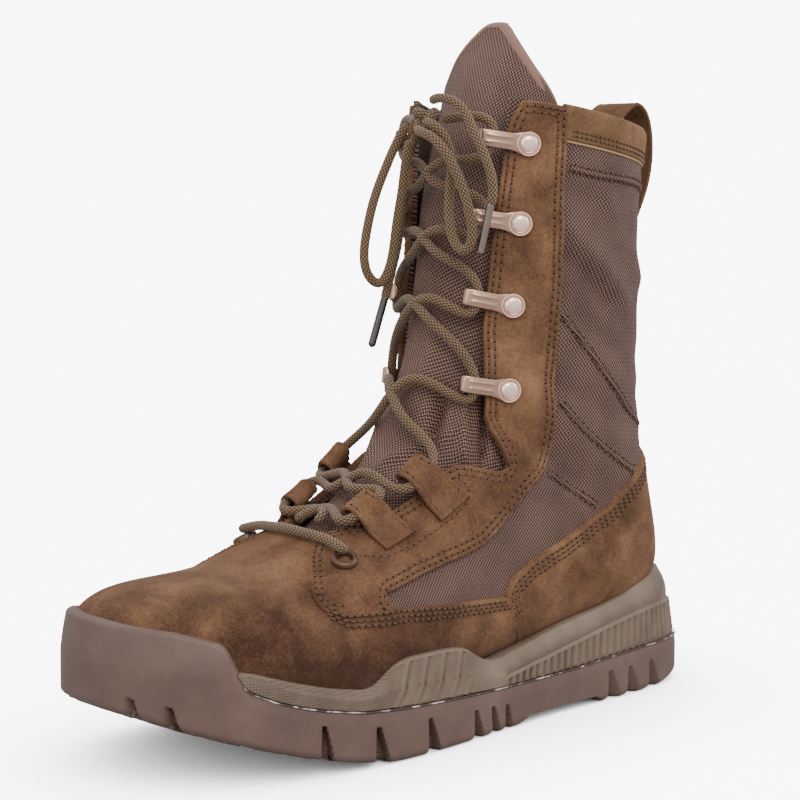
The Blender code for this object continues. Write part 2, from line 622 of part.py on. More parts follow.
def panel(name, rows, across, skin, look):
    """A panel over the upper: a region of the last kept between the two skin forms."""
    made = patch(name, rows, *PANEL_SHEETS, across, look)
    boolean(made, skin["over"], "INTERSECT")
    boolean(made, skin["under"])
    return made


def make_overlays(looks, cutters):
    skin = {
        "under": form("cut_under_skin", OVERLAY_LOW, TALLER, TURNS),
        "over": form("cut_over_skin", OVERLAY_HIGH, SECTIONS, TURNS),
    }
    stays = []
    for side, word in ((1, "lateral"), (-1, "medial")):
        rows = mirrored(refine(EYESTAY_ROWS, ROW_STEP), side)
        wide = [(row[0], row[1] - side * SEAM, row[2] + side * SEAM) for row in rows]
        wide = [(wide[0][0] - SEAM_BELOW, *wide[0][1:])] + wide
        stays.append(patch(f"cut_round_eyestay_{word}", wide, *SEAM_SHEETS, 3))
        stay = panel(f"eyestay_{word}", rows, 3, skin, looks["leather"])
        boolean(stay, cutters["collar"])

    rows = [(s, t, 2 - t) for s, t in refine(COUNTER_ROWS, ROW_STEP)]
    wide = [(s, a - SEAM, b + SEAM) for s, a, b in rows]
    wide = [(wide[0][0] - SEAM_BELOW, *wide[0][1:])] + wide
    counter = panel("heel_counter", rows, 9, skin, looks["leather"])
    boolean(counter, cutters["floor"])

    front = tuple(s for s in SECTIONS if s < VAMP_LAST_SECTION) + (VAMP_LAST_SECTION,)
    opening = [(s, -t, t) for s, t in refine(VAMP_OPENING, ROW_STEP)]
    vamp = form("vamp", OVERLAY_HIGH, front, TURNS, looks["leather"])
    boolean(vamp, skin["under"])
    boolean(vamp, patch("cut_vamp_opening", opening, *OPENING_SHEETS, 9))
    for stay in stays:
        boolean(vamp, stay)
    boolean(vamp, patch("cut_round_counter", wide, *SEAM_SHEETS, 9))
    boolean(vamp, cutters["floor"])

    cuff = panel("collar_cuff", [(s, t, 2 - t) for s, t in CUFF_ROWS], 9, skin,
                 looks["leather"])
    boolean(cuff, cutters["collar"])
    boolean(cuff, cutters["cuff_foot"], "INTERSECT")


def make_insole(look):
    """The footbed: the inside of the upper up to the insole's thickness."""
    insole = form("insole", -(WALL + GAP), SECTIONS, TURNS, look)
    boolean(insole, floor_block("cut_insole", WALL + GAP + INSOLE_THICK), "INTERSECT")


def tongue_point(s, t, depth):
    """A point of the tongue: under the throat's edges, bulging between them, leaning back."""
    throat = table(THROAT_ROWS, s)
    rise = TONGUE_BULGE * max(0.0, 1.0 - (t / throat) ** 2)
    place = point(s, t, -TONGUE_UNDER + rise - depth)
    lean = np.clip((place[2] - TONGUE_LEAN_FROM) / (TONGUE_LEAN_TO - TONGUE_LEAN_FROM), 0.0, 1.3)
    place[1] += TONGUE_LEAN * lean**1.5 * (1.0 - 0.8 * min(1.0, abs(t) / 0.37) ** 2)
    return place


def make_tongue(looks):
    rows = TONGUE_ROWS
    turns = np.linspace(-1.0, 1.0, TONGUE_STEPS)
    grids = []
    for depth in (TONGUE_THICK, 0.0):
        grids.append([[tongue_point(s, half * k, depth) for k in turns] for s, half in rows])
    add_object("tongue", *slab(*grids), looks["nylon"])

    edge = [row for row in refine(TONGUE_ROWS, BINDING_STEP) if row[0] > BINDING_FROM]
    rim = [(s, half) for s, half in edge] + [(s, -half) for s, half in reversed(edge)]
    centre_s = rim[0][0] - BINDING_BELOW
    lower = []
    upper = []
    for s, t in rim:
        on_edge = tongue_point(s, t, 0.0)
        centre = tongue_point(centre_s, BINDING_MIDDLE * t, 0.0)
        inward = BINDING_WIDTH / np.linalg.norm(centre - on_edge)
        inside = (s + (centre_s - s) * inward, t * (1 - (1 - BINDING_MIDDLE) * inward))
        pair = ((s, t), inside)
        lower.append([tongue_point(*place, -BINDING_LIFT) for place in pair])
        upper.append([tongue_point(*place, -BINDING_LIFT - BINDING_THICK) for place in pair])
    add_object("tongue_binding", *slab(lower, upper), looks["trim"])


# ---- Sole ------------------------------------------------------------------------------------
sole_edges = natural_spline([row[0] for row in SOLE_EDGES], [row[1:] for row in SOLE_EDGES])


def outline(angle, inset):
    """A point on the sole's plan outline: angle 0 at the toe, a quarter turn is lateral."""
    cosine = math.cos(angle)
    sine = math.sin(angle)
    end_n = SOLE_TOE_N if cosine > 0 else SOLE_HEEL_N
    reach = SOLE_MIDDLE_Y - SOLE_TOE_Y if cosine > 0 else SOLE_HEEL_Y - SOLE_MIDDLE_Y
    y = SOLE_MIDDLE_Y - math.copysign((reach - inset) * abs(cosine) ** (2 / end_n), cosine)
    lateral, medial = sole_edges(y)
    half = (lateral - medial) / 2 - inset
    x = (lateral + medial) / 2 + math.copysign(half * abs(sine) ** (2 / end_n), sine)
    return x, y


def side_angle(y, side):
    """The outline angle at a place along the boot."""
    end_n = SOLE_TOE_N if y < SOLE_MIDDLE_Y else SOLE_HEEL_N
    reach = SOLE_MIDDLE_Y - SOLE_TOE_Y if y < SOLE_MIDDLE_Y else SOLE_HEEL_Y - SOLE_MIDDLE_Y
    share = abs(SOLE_MIDDLE_Y - y) / reach
    cosine = math.copysign(min(1.0, share) ** (end_n / 2), SOLE_MIDDLE_Y - y)
    return side * math.acos(cosine)


def sole_loft(name, profile, look=None):
    """A closed solid round the sole's outline; the profile gives (inset, height) by place."""
    angles = [2 * math.pi * k / SOLE_STATIONS for k in range(SOLE_STATIONS)]
    angles += [side_angle(y, side) % (2 * math.pi) for y in STATIONS_AT_Y for side in (1, -1)]
    angles.sort()
    count = len(angles)
    loops = []
    for inset, height in profile:
        loop = []
        for angle in angles:
            y = outline(angle, 0.0)[1]
            place = outline(angle, inset(y))
            loop.append((*place, height(y)))
        loops.append(loop)
    vertices = [corner for loop in loops for corner in loop]
    faces = grid_faces(len(loops), count, True)
    top = (len(loops) - 1) * count
    half = count // 2
    for offset, flip in ((0, True), (top, False)):
        for k in range(half):
            a = offset + k
            b = offset + k + 1
            c = offset + (count - k - 1) % count
            d = offset + (count - k) % count
            corners = []
            for corner in (a, b, c, d):
                if corner not in corners:
                    corners.append(corner)
            faces.append(tuple(reversed(corners)) if flip else tuple(corners))
    return add_object(name, vertices, faces, look, curved=True)


def in_bumper(y):
    return y < BUMPER_BACK_Y


def outsole_top(y):
    return table(BUMPER_Z, y) if in_bumper(y) else table(JOINT_Z, y)


def midsole_profile():
    """Rows of the midsole: the band's foot and head, a step in, and the rim."""
    return ((lambda y: 0.6, lambda y: table(JOINT_Z, y) + GAP),
            (lambda y: table(BAND_INSET, y), lambda y: table(BAND_Z, y)),
            (lambda y: table(BAND_INSET, y) + 1.3, lambda y: table(BAND_Z, y) + 1.0),
            (lambda y: table(RIM_INSET, y), lambda y: table(RIM_Z, y)))


def outsole_profile():
    """Rows of the outsole, tread to top: rounded lower edge, wall, and the bumper's lean."""
    def tread(inset, lift):
        return lambda y: inset, lambda y: table(TREAD_Z, y) + lift

    def wall(y):
        return min(outsole_top(y) - WALL_BELOW_TOP, WALL_TOP_Z)

    def lean(y):
        return table(BUMPER_LEAN, y)

    edge = [tread(*step) for step in TREAD_EDGE]
    return (*edge, (lambda y: 0.0, wall), (lean, outsole_top))


def outward(angle):
    """The sole outline's outward direction in plan."""
    before = np.array(outline(angle - 0.01, 0.0))
    after = np.array(outline(angle + 0.01, 0.0))
    along = (after - before) / np.linalg.norm(after - before)
    return np.array((*along, 0.0)), np.array((along[1], -along[0], 0.0))


def side_prism(angle, inset, depth, low, high):
    """A cut into the sole's side: low and high are (half width, shift, height)."""
    along, out = outward(angle)
    x, y = outline(angle, 0.0)
    inner = np.array((x, y, 0.0)) - out * (inset + depth)
    outer = np.array((x, y, 0.0)) + out * CUTTER_REACH
    corners = ((low, -1), (low, 1), (high, 1), (high, -1))
    return [[base + along * (shift + side * half) + np.array((0.0, 0.0, height))
             for (half, shift, height), side in corners] for base in (inner, outer)]


def lug_notches():
    pairs = []
    for y, width, height, lean in NOTCHES:
        for side in (1, -1):
            angle = side_angle(y, side)
            tread = float(table(TREAD_Z, y))
            shift = lean * side
            low = (width / 2 + 0.3, 0.0, tread - 2.0)
            high = (0.4, shift, tread + height)
            pairs.append(side_prism(angle, 0.0, NOTCH_DEPTH, low, high))
    return prisms("cut_notches", pairs)


def tread_grooves():
    pairs = []
    for y in GROOVES_Y:
        loops = []
        for lift in (-CUTTER_BELOW, TREAD_GROOVE):
            loop = []
            for edge in (-GROOVE_WIDTH / 2, GROOVE_WIDTH / 2):
                run = [(-GROOVE_REACH, y + edge), (0.0, y + edge - GROOVE_BEND),
                       (GROOVE_REACH, y + edge)]
                if edge > 0:
                    run.reverse()
                for x, place in run:
                    loop.append((x, place, float(table(TREAD_Z, place)) + lift))
            loops.append(loop)
        pairs.append(loops)
    return prisms("cut_grooves", pairs)


def tread_lines():
    """Two grooves along the forefoot and two along the heel, beside the middle of the tread."""
    vertices = []
    faces = []
    for first, last in TREAD_LINES_Y:
        places = np.linspace(first, last, 4)
        for side in (-1, 1):
            grids = []
            for lift in (-CUTTER_BELOW, TREAD_LINE_DEPTH):
                grid = []
                for y in places:
                    lateral, medial = sole_edges(y)
                    middle = (lateral + medial) / 2 + side * TREAD_LINE_SHARE * (lateral - medial)
                    z = float(table(TREAD_Z, y)) + lift
                    grid.append([(middle - TREAD_LINE_WIDTH / 2, y, z),
                                 (middle + TREAD_LINE_WIDTH / 2, y, z)])
                grids.append(grid)
            more, sides = slab(*grids)
            faces += [tuple(k + len(vertices) for k in face) for face in sides]
            vertices += list(more)
    return add_object("cut_tread_lines", vertices, faces)


def arch_hollow():
    start, flat_start, flat_end, end = ARCH_Y
    below = -CUTTER_BELOW
    section = ((start, below), (flat_start, ARCH_LIFT), (flat_end, ARCH_LIFT), (end, below))
    low = [(-CUTTER_HALF_WIDTH, y, z) for y, z in section]
    high = [(CUTTER_HALF_WIDTH, y, z) for y, z in section]
    return prisms("cut_arch", [(low, high)])


def front_block():
    """Everything ahead of the midsole's sloping front, where the bumper stands."""
    ends = []
    for front, z in ((MIDSOLE_FRONT_LOW_Y, FLOOR_BLOCK_Z), (MIDSOLE_FRONT_HIGH_Y, -FLOOR_BLOCK_Z)):
        ends.append([(side * CUTTER_HALF_WIDTH, y, z)
                     for side, y in ((-1, -FLOOR_BLOCK_Y), (1, -FLOOR_BLOCK_Y), (1, front),
                                     (-1, front))])
    return prisms("cut_front", [ends])


def rib_grooves():
    """Fine upright grooves round the heel band, and the stabiliser's wider ones."""
    pairs = []
    angle = side_angle(RIB_FROM_Y, 1)
    while angle < 2 * math.pi - side_angle(RIB_FROM_Y, 1):
        x, y = outline(angle, 0.0)
        inset = float(table(BAND_INSET, y))
        low = (RIB_WIDTH / 2, 0.0, float(table(JOINT_Z, y)) + 1.5)
        high = (RIB_WIDTH / 2, 0.0, float(table(BAND_Z, y)) - 0.6)
        if high[2] - low[2] > 1.0:
            pairs.append(side_prism(angle, inset, RIB_DEPTH, low, high))
        ahead = np.array(outline(angle + 0.01, 0.0)) - np.array((x, y))
        angle += 0.01 * RIB_PITCH / np.linalg.norm(ahead)
    for y in RIDGES_Y:
        for side in (1, -1):
            low = (RIDGE_WIDTH / 2, -2.0 * side, float(table(JOINT_Z, y)) + 2.5)
            high = (RIDGE_WIDTH / 2 - 0.2, 1.0 * side, float(table(RIM_Z, y)) - 2.0)
            pairs.append(side_prism(side_angle(y, side), 1.2, RIB_DEPTH, low, high))
    return prisms("cut_ribs", pairs)


def make_sole(looks):
    cup = form("cut_cup", CUP, SECTIONS, TURNS)
    boolean(cup, floor_block("cut_cup_floor", PANELS_ABOVE_PLANTAR - GAP))
    bed = form("cut_bed", GAP, SECTIONS, TURNS)
    midsole = sole_loft("midsole", midsole_profile(), looks["foam"])
    boolean(midsole, front_block())
    boolean(midsole, rib_grooves())
    outsole = sole_loft("outsole", outsole_profile(), looks["rubber"])
    boolean(outsole, arch_hollow())
    boolean(outsole, tread_grooves())
    boolean(outsole, tread_lines())
    boolean(outsole, lug_notches())
    for piece in (midsole, outsole):
        boolean(piece, bed)
        boolean(piece, cup)


# ---- Fastenings ------------------------------------------------------------------------------
def on_surface(place, reach, aside, height):
    """A point over the last: reach mm towards the throat, aside mm up the boot, height out."""
    s, t = place
    around = ring(s, np.linspace(0.0, math.copysign(0.999, t), 33))
    girth = np.linalg.norm(np.diff(around, axis=0), axis=1).sum()
    turn = t - math.copysign(reach / girth, t)
    per_section = np.linalg.norm(point(s + 0.05, turn) - point(s - 0.05, turn)) / 0.1
    return point(s + aside / per_section, turn, height)


def seat(place, radius):
    """How far a flat disc must stand off the last's tangent to clear its hollow curve."""
    origin, around, along, normal = frame_at(*place)
    rises = [0.0]
    for k in range(8):
        angle = 2 * math.pi * k / 8
        rim = on_surface(place, radius * math.cos(angle), radius * math.sin(angle), 0.0)
        rises.append(float(np.dot(rim - origin, normal)))
    return max(rises)


def make_eyelets(look):
    profile = EYELET_PROFILE
    sides = EYELET_SIDES
    for side, word in ((1, "lateral"), (-1, "medial")):
        s, t = EYELET_PLACE
        stand = seat((s, side * t), EYELET_OUTER)
        place, around, along, normal = frame_at(s, side * t, OVERLAY_HIGH + 1.4 * GAP + stand)
        vertices = []
        for k in range(sides):
            angle = 2 * math.pi * k / sides
            out = around * math.cos(angle) + along * math.sin(angle)
            vertices += [place + out * r + normal * h for r, h in profile]
        faces = grid_faces(sides, len(profile), True)
        end = (sides - 1) * len(profile)
        for j in range(len(profile)):
            k = (j + 1) % len(profile)
            faces.append((end + j, end + k, k, j))
        add_object(f"eyelet_{word}", vertices, faces, look)


def hook_half_width(reach):
    """Half width of a hook along its length: a disc that necks down to the arm."""
    if reach < HOOK_NECK_FROM:
        return math.sqrt(max(HOOK_DISC_R**2 - reach**2, HOOK_END_HALF**2))
    blend = min(1.0, (reach - HOOK_NECK_FROM) / HOOK_NECK)
    start = math.sqrt(HOOK_DISC_R**2 - HOOK_NECK_FROM**2)
    return start + (HOOK_ARM_HALF - start) * math.sin(blend * math.pi / 2)


def hook_frame(place, side):
    """The frame of a hook's plate, seated on the eyestay, its arm dipped down the boot."""
    s, t, dip = place
    stand = seat((s, side * t), HOOK_SEAT_R)
    out = OVERLAY_HIGH + 1.7 * GAP + HOOK_PLATE / 2 + stand
    origin, around, along, normal = frame_at(s, side * t, out)
    cosine = math.cos(math.radians(dip))
    sine = math.sin(math.radians(dip))
    return origin, around * cosine - along * sine, along * cosine + around * sine, normal


def make_hooks(look):
    halves = [hook_half_width(reach) for reach, _ in HOOK_PATH]
    for side, word in ((1, "lateral"), (-1, "medial")):
        for number, place in enumerate(HOOK_PLACES, start=1):
            frame = hook_frame(place, side)
            hook = strip(f"hook_{word}_{number}", HOOK_PATH, halves, HOOK_PLATE, frame, look)
            origin, around, along, normal = frame
            levels = ((HOOK_CAP_R, 0.2), (0.7 * HOOK_CAP_R, HOOK_CAP_H))
            sides = HOOK_CAP_SIDES
            vertices = []
            for radius, height in levels:
                for k in range(sides):
                    angle = 2 * math.pi * k / sides
                    out = around * math.cos(angle) + along * math.sin(angle)
                    vertices.append(origin + out * radius + normal * height)
            faces = grid_faces(len(levels), sides, True)
            faces.append(tuple(range(sides)))
            faces.append(tuple(range(sides, 2 * sides)))
            cap = add_object(f"add_rivet_{word}_{number}", vertices, faces)
            boolean(hook, cap, "UNION")


def make_tabs(look):
    """Lace loops of leather, folded round the lace over the edge of the eyestay."""
    path = np.array(TAB_PATH)
    tangent = np.gradient(path, axis=0)
    tangent /= np.linalg.norm(tangent, axis=1, keepdims=True)
    side_step = np.stack((-tangent[:, 1], tangent[:, 0]), axis=1) * TAB_THICK / 2
    base = OVERLAY_HIGH + GAP + TAB_THICK / 2
    for side, word in ((1, "lateral"), (-1, "medial")):
        for number, (s, t, root, fold) in enumerate(TAB_PLACES, start=1):
            grids = []
            for sign in (-1, 1):
                grid = []
                for reach, height in path + sign * side_step:
                    half = np.interp(reach, (0.0, TAB_LACE[0]), (root, fold))
                    grid.append([on_surface((s, side * t), reach, aside, base + height)
                                 for aside in (-half, half)])
                grids.append(grid)
            add_object(f"lace_tab_{word}_{number}", *slab(*grids), look)


def tab_lace(place, side, aside):
    """The lace's middle inside a tab's fold, aside mm along the boot from its centre line."""
    s, t = place[:2]
    reach, height = TAB_LACE
    lift = OVERLAY_HIGH + GAP + TAB_THICK / 2
    return on_surface((s, side * t), reach, aside, lift + height)


def hook_lace(place, side, aside):
    """The lace's middle under a hook's arm."""
    origin, around, along, normal = hook_frame(place, side)
    reach, height = HOOK_LACE
    return origin + around * reach + normal * height + along * aside


def strand_route(side):
    """One lace from beside its eyelet, crossing the tongue from side to side to the knot."""
    stations = [(tab_lace, place, place[3] + TAB_CLEAR) for place in TAB_PLACES]
    stations += [(hook_lace, place, HOOK_ARM_HALF + HOOK_CLEAR) for place in HOOK_PLACES]
    before_s = LACE_START[0]
    route = [point(before_s, side * LACE_START[1], LACE_LIFT)]
    for where, place, half in stations:
        for share in CROSSING_SHARES:
            s = before_s + share * (place[0] - before_s)
            t = side * LACE_TURN * (1 - 2 * share)
            route.append(point(s, t, LACE_LIFT))
        side = -side
        route.append(where(place, side, -half))
        route.append(where(place, side, half))
        before_s = place[0]
    route.append(KNOT_LACE_ENDS[0 if side > 0 else 1])
    return route


def cord(name, route, look):
    """A free lace end or loop: a round curve with capped ends through its hand-chosen route."""
    data = bpy.data.curves.new(name, "CURVE")
    data.dimensions = "3D"
    data.bevel_depth = LACE_R * MM
    data.bevel_resolution = 2
    data.use_fill_caps = True
    data.materials.append(look)
    places = (smooth_route(route, CORD_STEP) - (CENTRE_X, CENTRE_Y, 0.0)) * MM
    line = data.splines.new("POLY")
    line.points.add(len(places) - 1)
    for corner, place in zip(line.points, places):
        corner.co = (*place, 1.0)
    made = bpy.data.objects.new(name, data)
    bpy.context.scene.collection.objects.link(made)


def make_knot(look):
    rows = KNOT_ROWS
    sides = KNOT_SIDES
    centre = np.array(KNOT_CENTRE)
    radii = np.array(KNOT_RADII)
    vertices = [centre + radii * (0.0, 0.0, 1.0)]
    for i in range(1, rows):
        down = math.pi * i / rows
        for k in range(sides):
            turn = 2 * math.pi * k / sides
            direction = (math.sin(down) * math.cos(turn), math.sin(down) * math.sin(turn),
                         math.cos(down))
            vertices.append(centre + radii * direction)
    vertices.append(centre - radii * (0.0, 0.0, 1.0))
    faces = [(0, 1 + k, 1 + (k + 1) % sides) for k in range(sides)]
    faces += grid_faces(rows - 1, sides, True, 1)
    last = len(vertices) - 1
    faces += [(last, last - sides + (k + 1) % sides, last - sides + k) for k in range(sides)]
    add_object("lace_knot", vertices, faces, look)


def make_laces(looks):
    lace = tube("lace_crossings", strand_route(1), LACE_R, CORD_SIDES, looks["cord"])
    boolean(lace, tube("add_strand", strand_route(-1), LACE_R, CORD_SIDES), "UNION")
    half_bar = [point(s, t, height) for s, t, height in LACE_BAR]
    other = [point(s, -t, height) for s, t, height in reversed(LACE_BAR[:-1])]
    tube("lace_bar", half_bar + other, LACE_R, CORD_SIDES, looks["cord"])
    make_knot(looks["cord"])
    cord("lace_loop_left", LOOP_LEFT, looks["cord"])
    cord("lace_loop_right", LOOP_RIGHT, looks["cord"])
    cord("lace_end_left", END_LEFT, looks["cord"])
    cord("lace_end_right", END_RIGHT, looks["cord"])
    tube("aglet_left", AGLET_LEFT, AGLET_R, CORD_SIDES, looks["tip"])
    tube("aglet_right", AGLET_RIGHT, AGLET_R, CORD_SIDES, looks["tip"])


def make_pull_loop(look):
    centre = np.array([point(s, 1.0, out) for s, out in PULL_PATH])[:, 1:]
    tangent = np.gradient(centre, axis=0)
    tangent /= np.linalg.norm(tangent, axis=1, keepdims=True)
    side = np.stack((-tangent[:, 1], tangent[:, 0]), axis=1) * PULL_THICK / 2
    across = np.linspace(-PULL_HALF, PULL_HALF, 5)
    bow = PULL_BOW * (across / PULL_HALF) ** 2
    grids = []
    for sign in (-1, 1):
        edge = centre + sign * side
        grids.append([[(x, y - back, z) for x, back in zip(across, bow)] for y, z in edge])
    add_object("pull_loop", *slab(*grids), look)


# ---- Build -----------------------------------------------------------------------------------
def build():
    clear_scene()
    looks = {
        "leather": material("suede", LEATHER, 0.9),
        "nylon": material("nylon", NYLON, 0.75),
        "trim": material("binding", TRIM, 0.7),
        "rubber": material("rubber", RUBBER, 0.6),
        "foam": material("midsole_foam", FOAM, 0.65),
        "cord": material("lace_cord", CORD, 0.8),
        "metal": material("hook_metal", METAL, 0.3, 1.0),
        "tip": material("aglet", TIP, 0.4),
        "footbed": material("footbed", FOOTBED, 0.9),
    }
    cutters = {
        "collar": collar_block("cut_collar", 0.0),
        "cuff_foot": collar_block("cut_cuff_foot", CUFF_DEPTH),
        "floor": floor_block("cut_floor", PANELS_ABOVE_PLANTAR),
    }
    make_upper(looks["nylon"], cutters)
    make_overlays(looks, cutters)
    make_insole(looks["footbed"])
    make_tongue(looks)
    make_sole(looks)
    make_eyelets(looks["metal"])
    make_hooks(looks["metal"])
    make_tabs(looks["leather"])
    make_laces(looks)
    make_pull_loop(looks["leather"])


build()
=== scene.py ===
"""Looks of the desert boot: suede panels over woven nylon on a lugged rubber sole.

All shapes are worked out in millimetres in the boot's own frame (toe to -Y, outer side to +X,
floor at z = 0) and put into meshes in metres. A place on the boot is a section number s (0 at
the toe tip, about 15 at the collar) and a turn t of the section's girth (0 on top of the foot,
1 under it or behind the heel, + on the outer side, - on the inner side).
"""
import json
import math

import bmesh
import bpy
import numpy as np
from mathutils import Matrix, Vector

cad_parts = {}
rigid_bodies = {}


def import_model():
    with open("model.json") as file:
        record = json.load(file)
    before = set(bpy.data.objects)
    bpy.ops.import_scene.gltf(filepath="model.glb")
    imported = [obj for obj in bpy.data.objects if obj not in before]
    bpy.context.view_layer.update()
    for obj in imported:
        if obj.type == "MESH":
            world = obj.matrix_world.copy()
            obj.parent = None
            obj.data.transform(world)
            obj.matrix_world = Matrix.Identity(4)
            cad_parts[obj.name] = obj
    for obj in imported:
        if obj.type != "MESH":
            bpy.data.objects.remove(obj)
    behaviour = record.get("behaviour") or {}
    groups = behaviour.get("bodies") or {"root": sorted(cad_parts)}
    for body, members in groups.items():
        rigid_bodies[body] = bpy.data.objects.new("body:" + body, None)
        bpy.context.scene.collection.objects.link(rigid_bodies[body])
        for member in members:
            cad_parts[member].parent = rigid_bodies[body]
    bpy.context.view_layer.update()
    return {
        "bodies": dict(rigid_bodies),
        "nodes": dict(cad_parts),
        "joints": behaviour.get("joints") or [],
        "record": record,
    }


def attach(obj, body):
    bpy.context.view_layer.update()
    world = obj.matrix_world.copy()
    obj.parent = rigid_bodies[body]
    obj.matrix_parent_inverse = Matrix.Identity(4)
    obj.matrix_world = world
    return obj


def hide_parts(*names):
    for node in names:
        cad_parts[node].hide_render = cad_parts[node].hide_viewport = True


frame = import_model()

MM = 0.001
SIDES = ((1, "lateral"), (-1, "medial"))
# the row's origin in the millimetre frame that the last is drawn in
ORIGIN = np.array((0.22, -5.25, 0.0))

# ---- Sizes of the last, as in the part's source ----------------------------------------------
# top y, top z, back y, back z, lateral and medial half width, widest height, two exponents
LAST_ROWS = np.array((
    (-146.0, 63.0, -146.0, 36.0, 36.0, 48.0, 0.42, 2.6, 5.0),
    (-128.0, 66.8, -128.0, 31.0, 41.0, 50.0, 0.42, 2.5, 5.0),
    (-105.0, 66.5, -105.0, 26.0, 46.0, 51.0, 0.42, 2.3, 5.0),
    (-83.0, 68.8, -80.0, 22.0, 49.0, 50.0, 0.42, 2.2, 5.0),
    (-62.0, 76.5, -50.0, 22.0, 49.0, 46.0, 0.42, 2.1, 5.0),
    (-45.0, 83.5, -16.0, 24.0, 46.0, 41.5, 0.42, 2.1, 4.8),
    (-29.0, 95.5, 22.0, 28.0, 42.0, 38.0, 0.42, 2.1, 4.5),
    (-14.0, 111.5, 60.0, 33.0, 38.5, 36.0, 0.42, 2.1, 4.2),
    (-5.0, 128.5, 99.0, 36.0, 37.0, 37.0, 0.42, 2.1, 3.6),
    (1.0, 143.5, 126.5, 47.0, 37.0, 38.0, 0.42, 2.1, 2.6),
    (5.0, 158.0, 122.5, 76.0, 38.0, 39.0, 0.43, 2.1, 2.4),
    (8.0, 172.0, 117.5, 107.0, 39.0, 39.5, 0.44, 2.1, 2.2),
    (10.5, 188.0, 115.0, 139.0, 40.0, 40.0, 0.45, 2.1, 2.2),
    (12.0, 205.0, 113.0, 172.0, 40.5, 40.5, 0.46, 2.1, 2.2),
    (13.0, 225.0, 112.8, 206.0, 41.0, 41.5, 0.46, 2.1, 2.2),
    (13.5, 252.0, 114.0, 246.0, 42.0, 42.5, 0.46, 2.1, 2.2),
))
TOE_BOX_Y = -60.0
TOE_SPAN = 86.0
TOE_PLAN_N = 2.8
TOE_SIDE_N = 3.2
TOE_MIDDLE = 0.42
WALL = 2.4
COLLAR_Y = 44.0
COLLAR_Z = 244.0
COLLAR_SLOPE = -0.16
# section and turn, or turns, along each edge
THROAT_ROWS = np.array((
    (4.22, 0.02), (4.26, 0.05), (4.35, 0.078), (4.6, 0.088), (4.9, 0.108), (5.2, 0.135),
    (5.75, 0.162), (6.1, 0.172), (6.5, 0.182), (6.9, 0.182), (7.2, 0.192), (7.33, 0.208),
    (7.55, 0.252), (7.75, 0.29), (7.95, 0.294), (8.15, 0.252), (8.3, 0.212), (8.5, 0.185),
    (9.25, 0.16), (10.35, 0.152), (12.2, 0.165), (13.7, 0.188), (15.7, 0.212)))
EYESTAY_ROWS = np.array((
    (3.18, 0.3, 0.34), (3.25, 0.262, 0.37), (3.4, 0.22, 0.39), (3.6, 0.172, 0.405),
    (3.85, 0.125, 0.418), (4.2, 0.09, 0.428), (4.25, 0.09, 0.43), (4.33, 0.092, 0.374),
    (4.6, 0.098, 0.374), (4.9, 0.118, 0.371), (5.2, 0.145, 0.37), (5.75, 0.172, 0.382),
    (6.1, 0.182, 0.396), (6.5, 0.192, 0.409), (6.9, 0.192, 0.403), (7.2, 0.202, 0.396),
    (7.33, 0.218, 0.393), (7.55, 0.262, 0.388), (7.75, 0.3, 0.384), (7.95, 0.304, 0.382),
    (8.15, 0.262, 0.381), (8.3, 0.222, 0.381), (8.5, 0.195, 0.38), (9.25, 0.17, 0.365),
    (10.35, 0.162, 0.369), (12.2, 0.175, 0.38), (13.7, 0.198, 0.379), (14.3, 0.207, 0.379),
    (14.6, 0.222, 0.379), (14.8, 0.245, 0.379), (14.95, 0.28, 0.379), (15.2, 0.31, 0.379)))
VAMP_ROWS = np.array((
    (0.0, 0.0), (4.22, 0.0), (4.26, 0.055), (4.3, 0.088), (4.31, 0.2), (4.33, 0.415),
    (4.7, 0.436), (5.05, 0.455), (5.55, 0.499), (5.9, 0.534), (6.2, 0.567), (6.5, 0.604),
    (7.0, 0.66)))
# first row of stitches on the vamp's side band, which starts ahead of the eyestay's foot
BAND_LINE = np.array((
    (3.2, 0.345), (3.35, 0.378), (3.55, 0.395), (4.0, 0.415), (4.45, 0.432), (5.05, 0.467),
    (5.55, 0.511), (5.9, 0.546), (6.22, 0.581)))
COUNTER_ROWS = np.array((
    (6.15, 0.66), (6.28, 0.575), (6.5, 0.547), (6.95, 0.54), (7.75, 0.55), (8.45, 0.555),
    (9.25, 0.605), (9.85, 0.685), (10.45, 0.785), (10.9, 0.9), (11.0, 0.97)))
CUFF_TURN = 0.385
TONGUE_THICK = 4.5
TONGUE_UNDER = WALL + 1.9
TONGUE_BULGE = 2.6
TONGUE_LEAN = 30.0
TONGUE_LEAN_FROM = 195.0
TONGUE_LEAN_TO = 280.0
TONGUE_ROWS = np.array((
    (4.4, 0.11), (4.9, 0.18), (5.6, 0.235), (6.5, 0.26), (7.2, 0.31), (7.7, 0.35), (8.2, 0.31),
    (8.7, 0.25), (9.7, 0.225), (10.9, 0.22), (12.2, 0.24), (13.4, 0.28), (14.2, 0.33),
    (14.75, 0.36), (14.98, 0.3), (15.3, 0.19), (15.65, 0.1), (15.95, 0.03)))


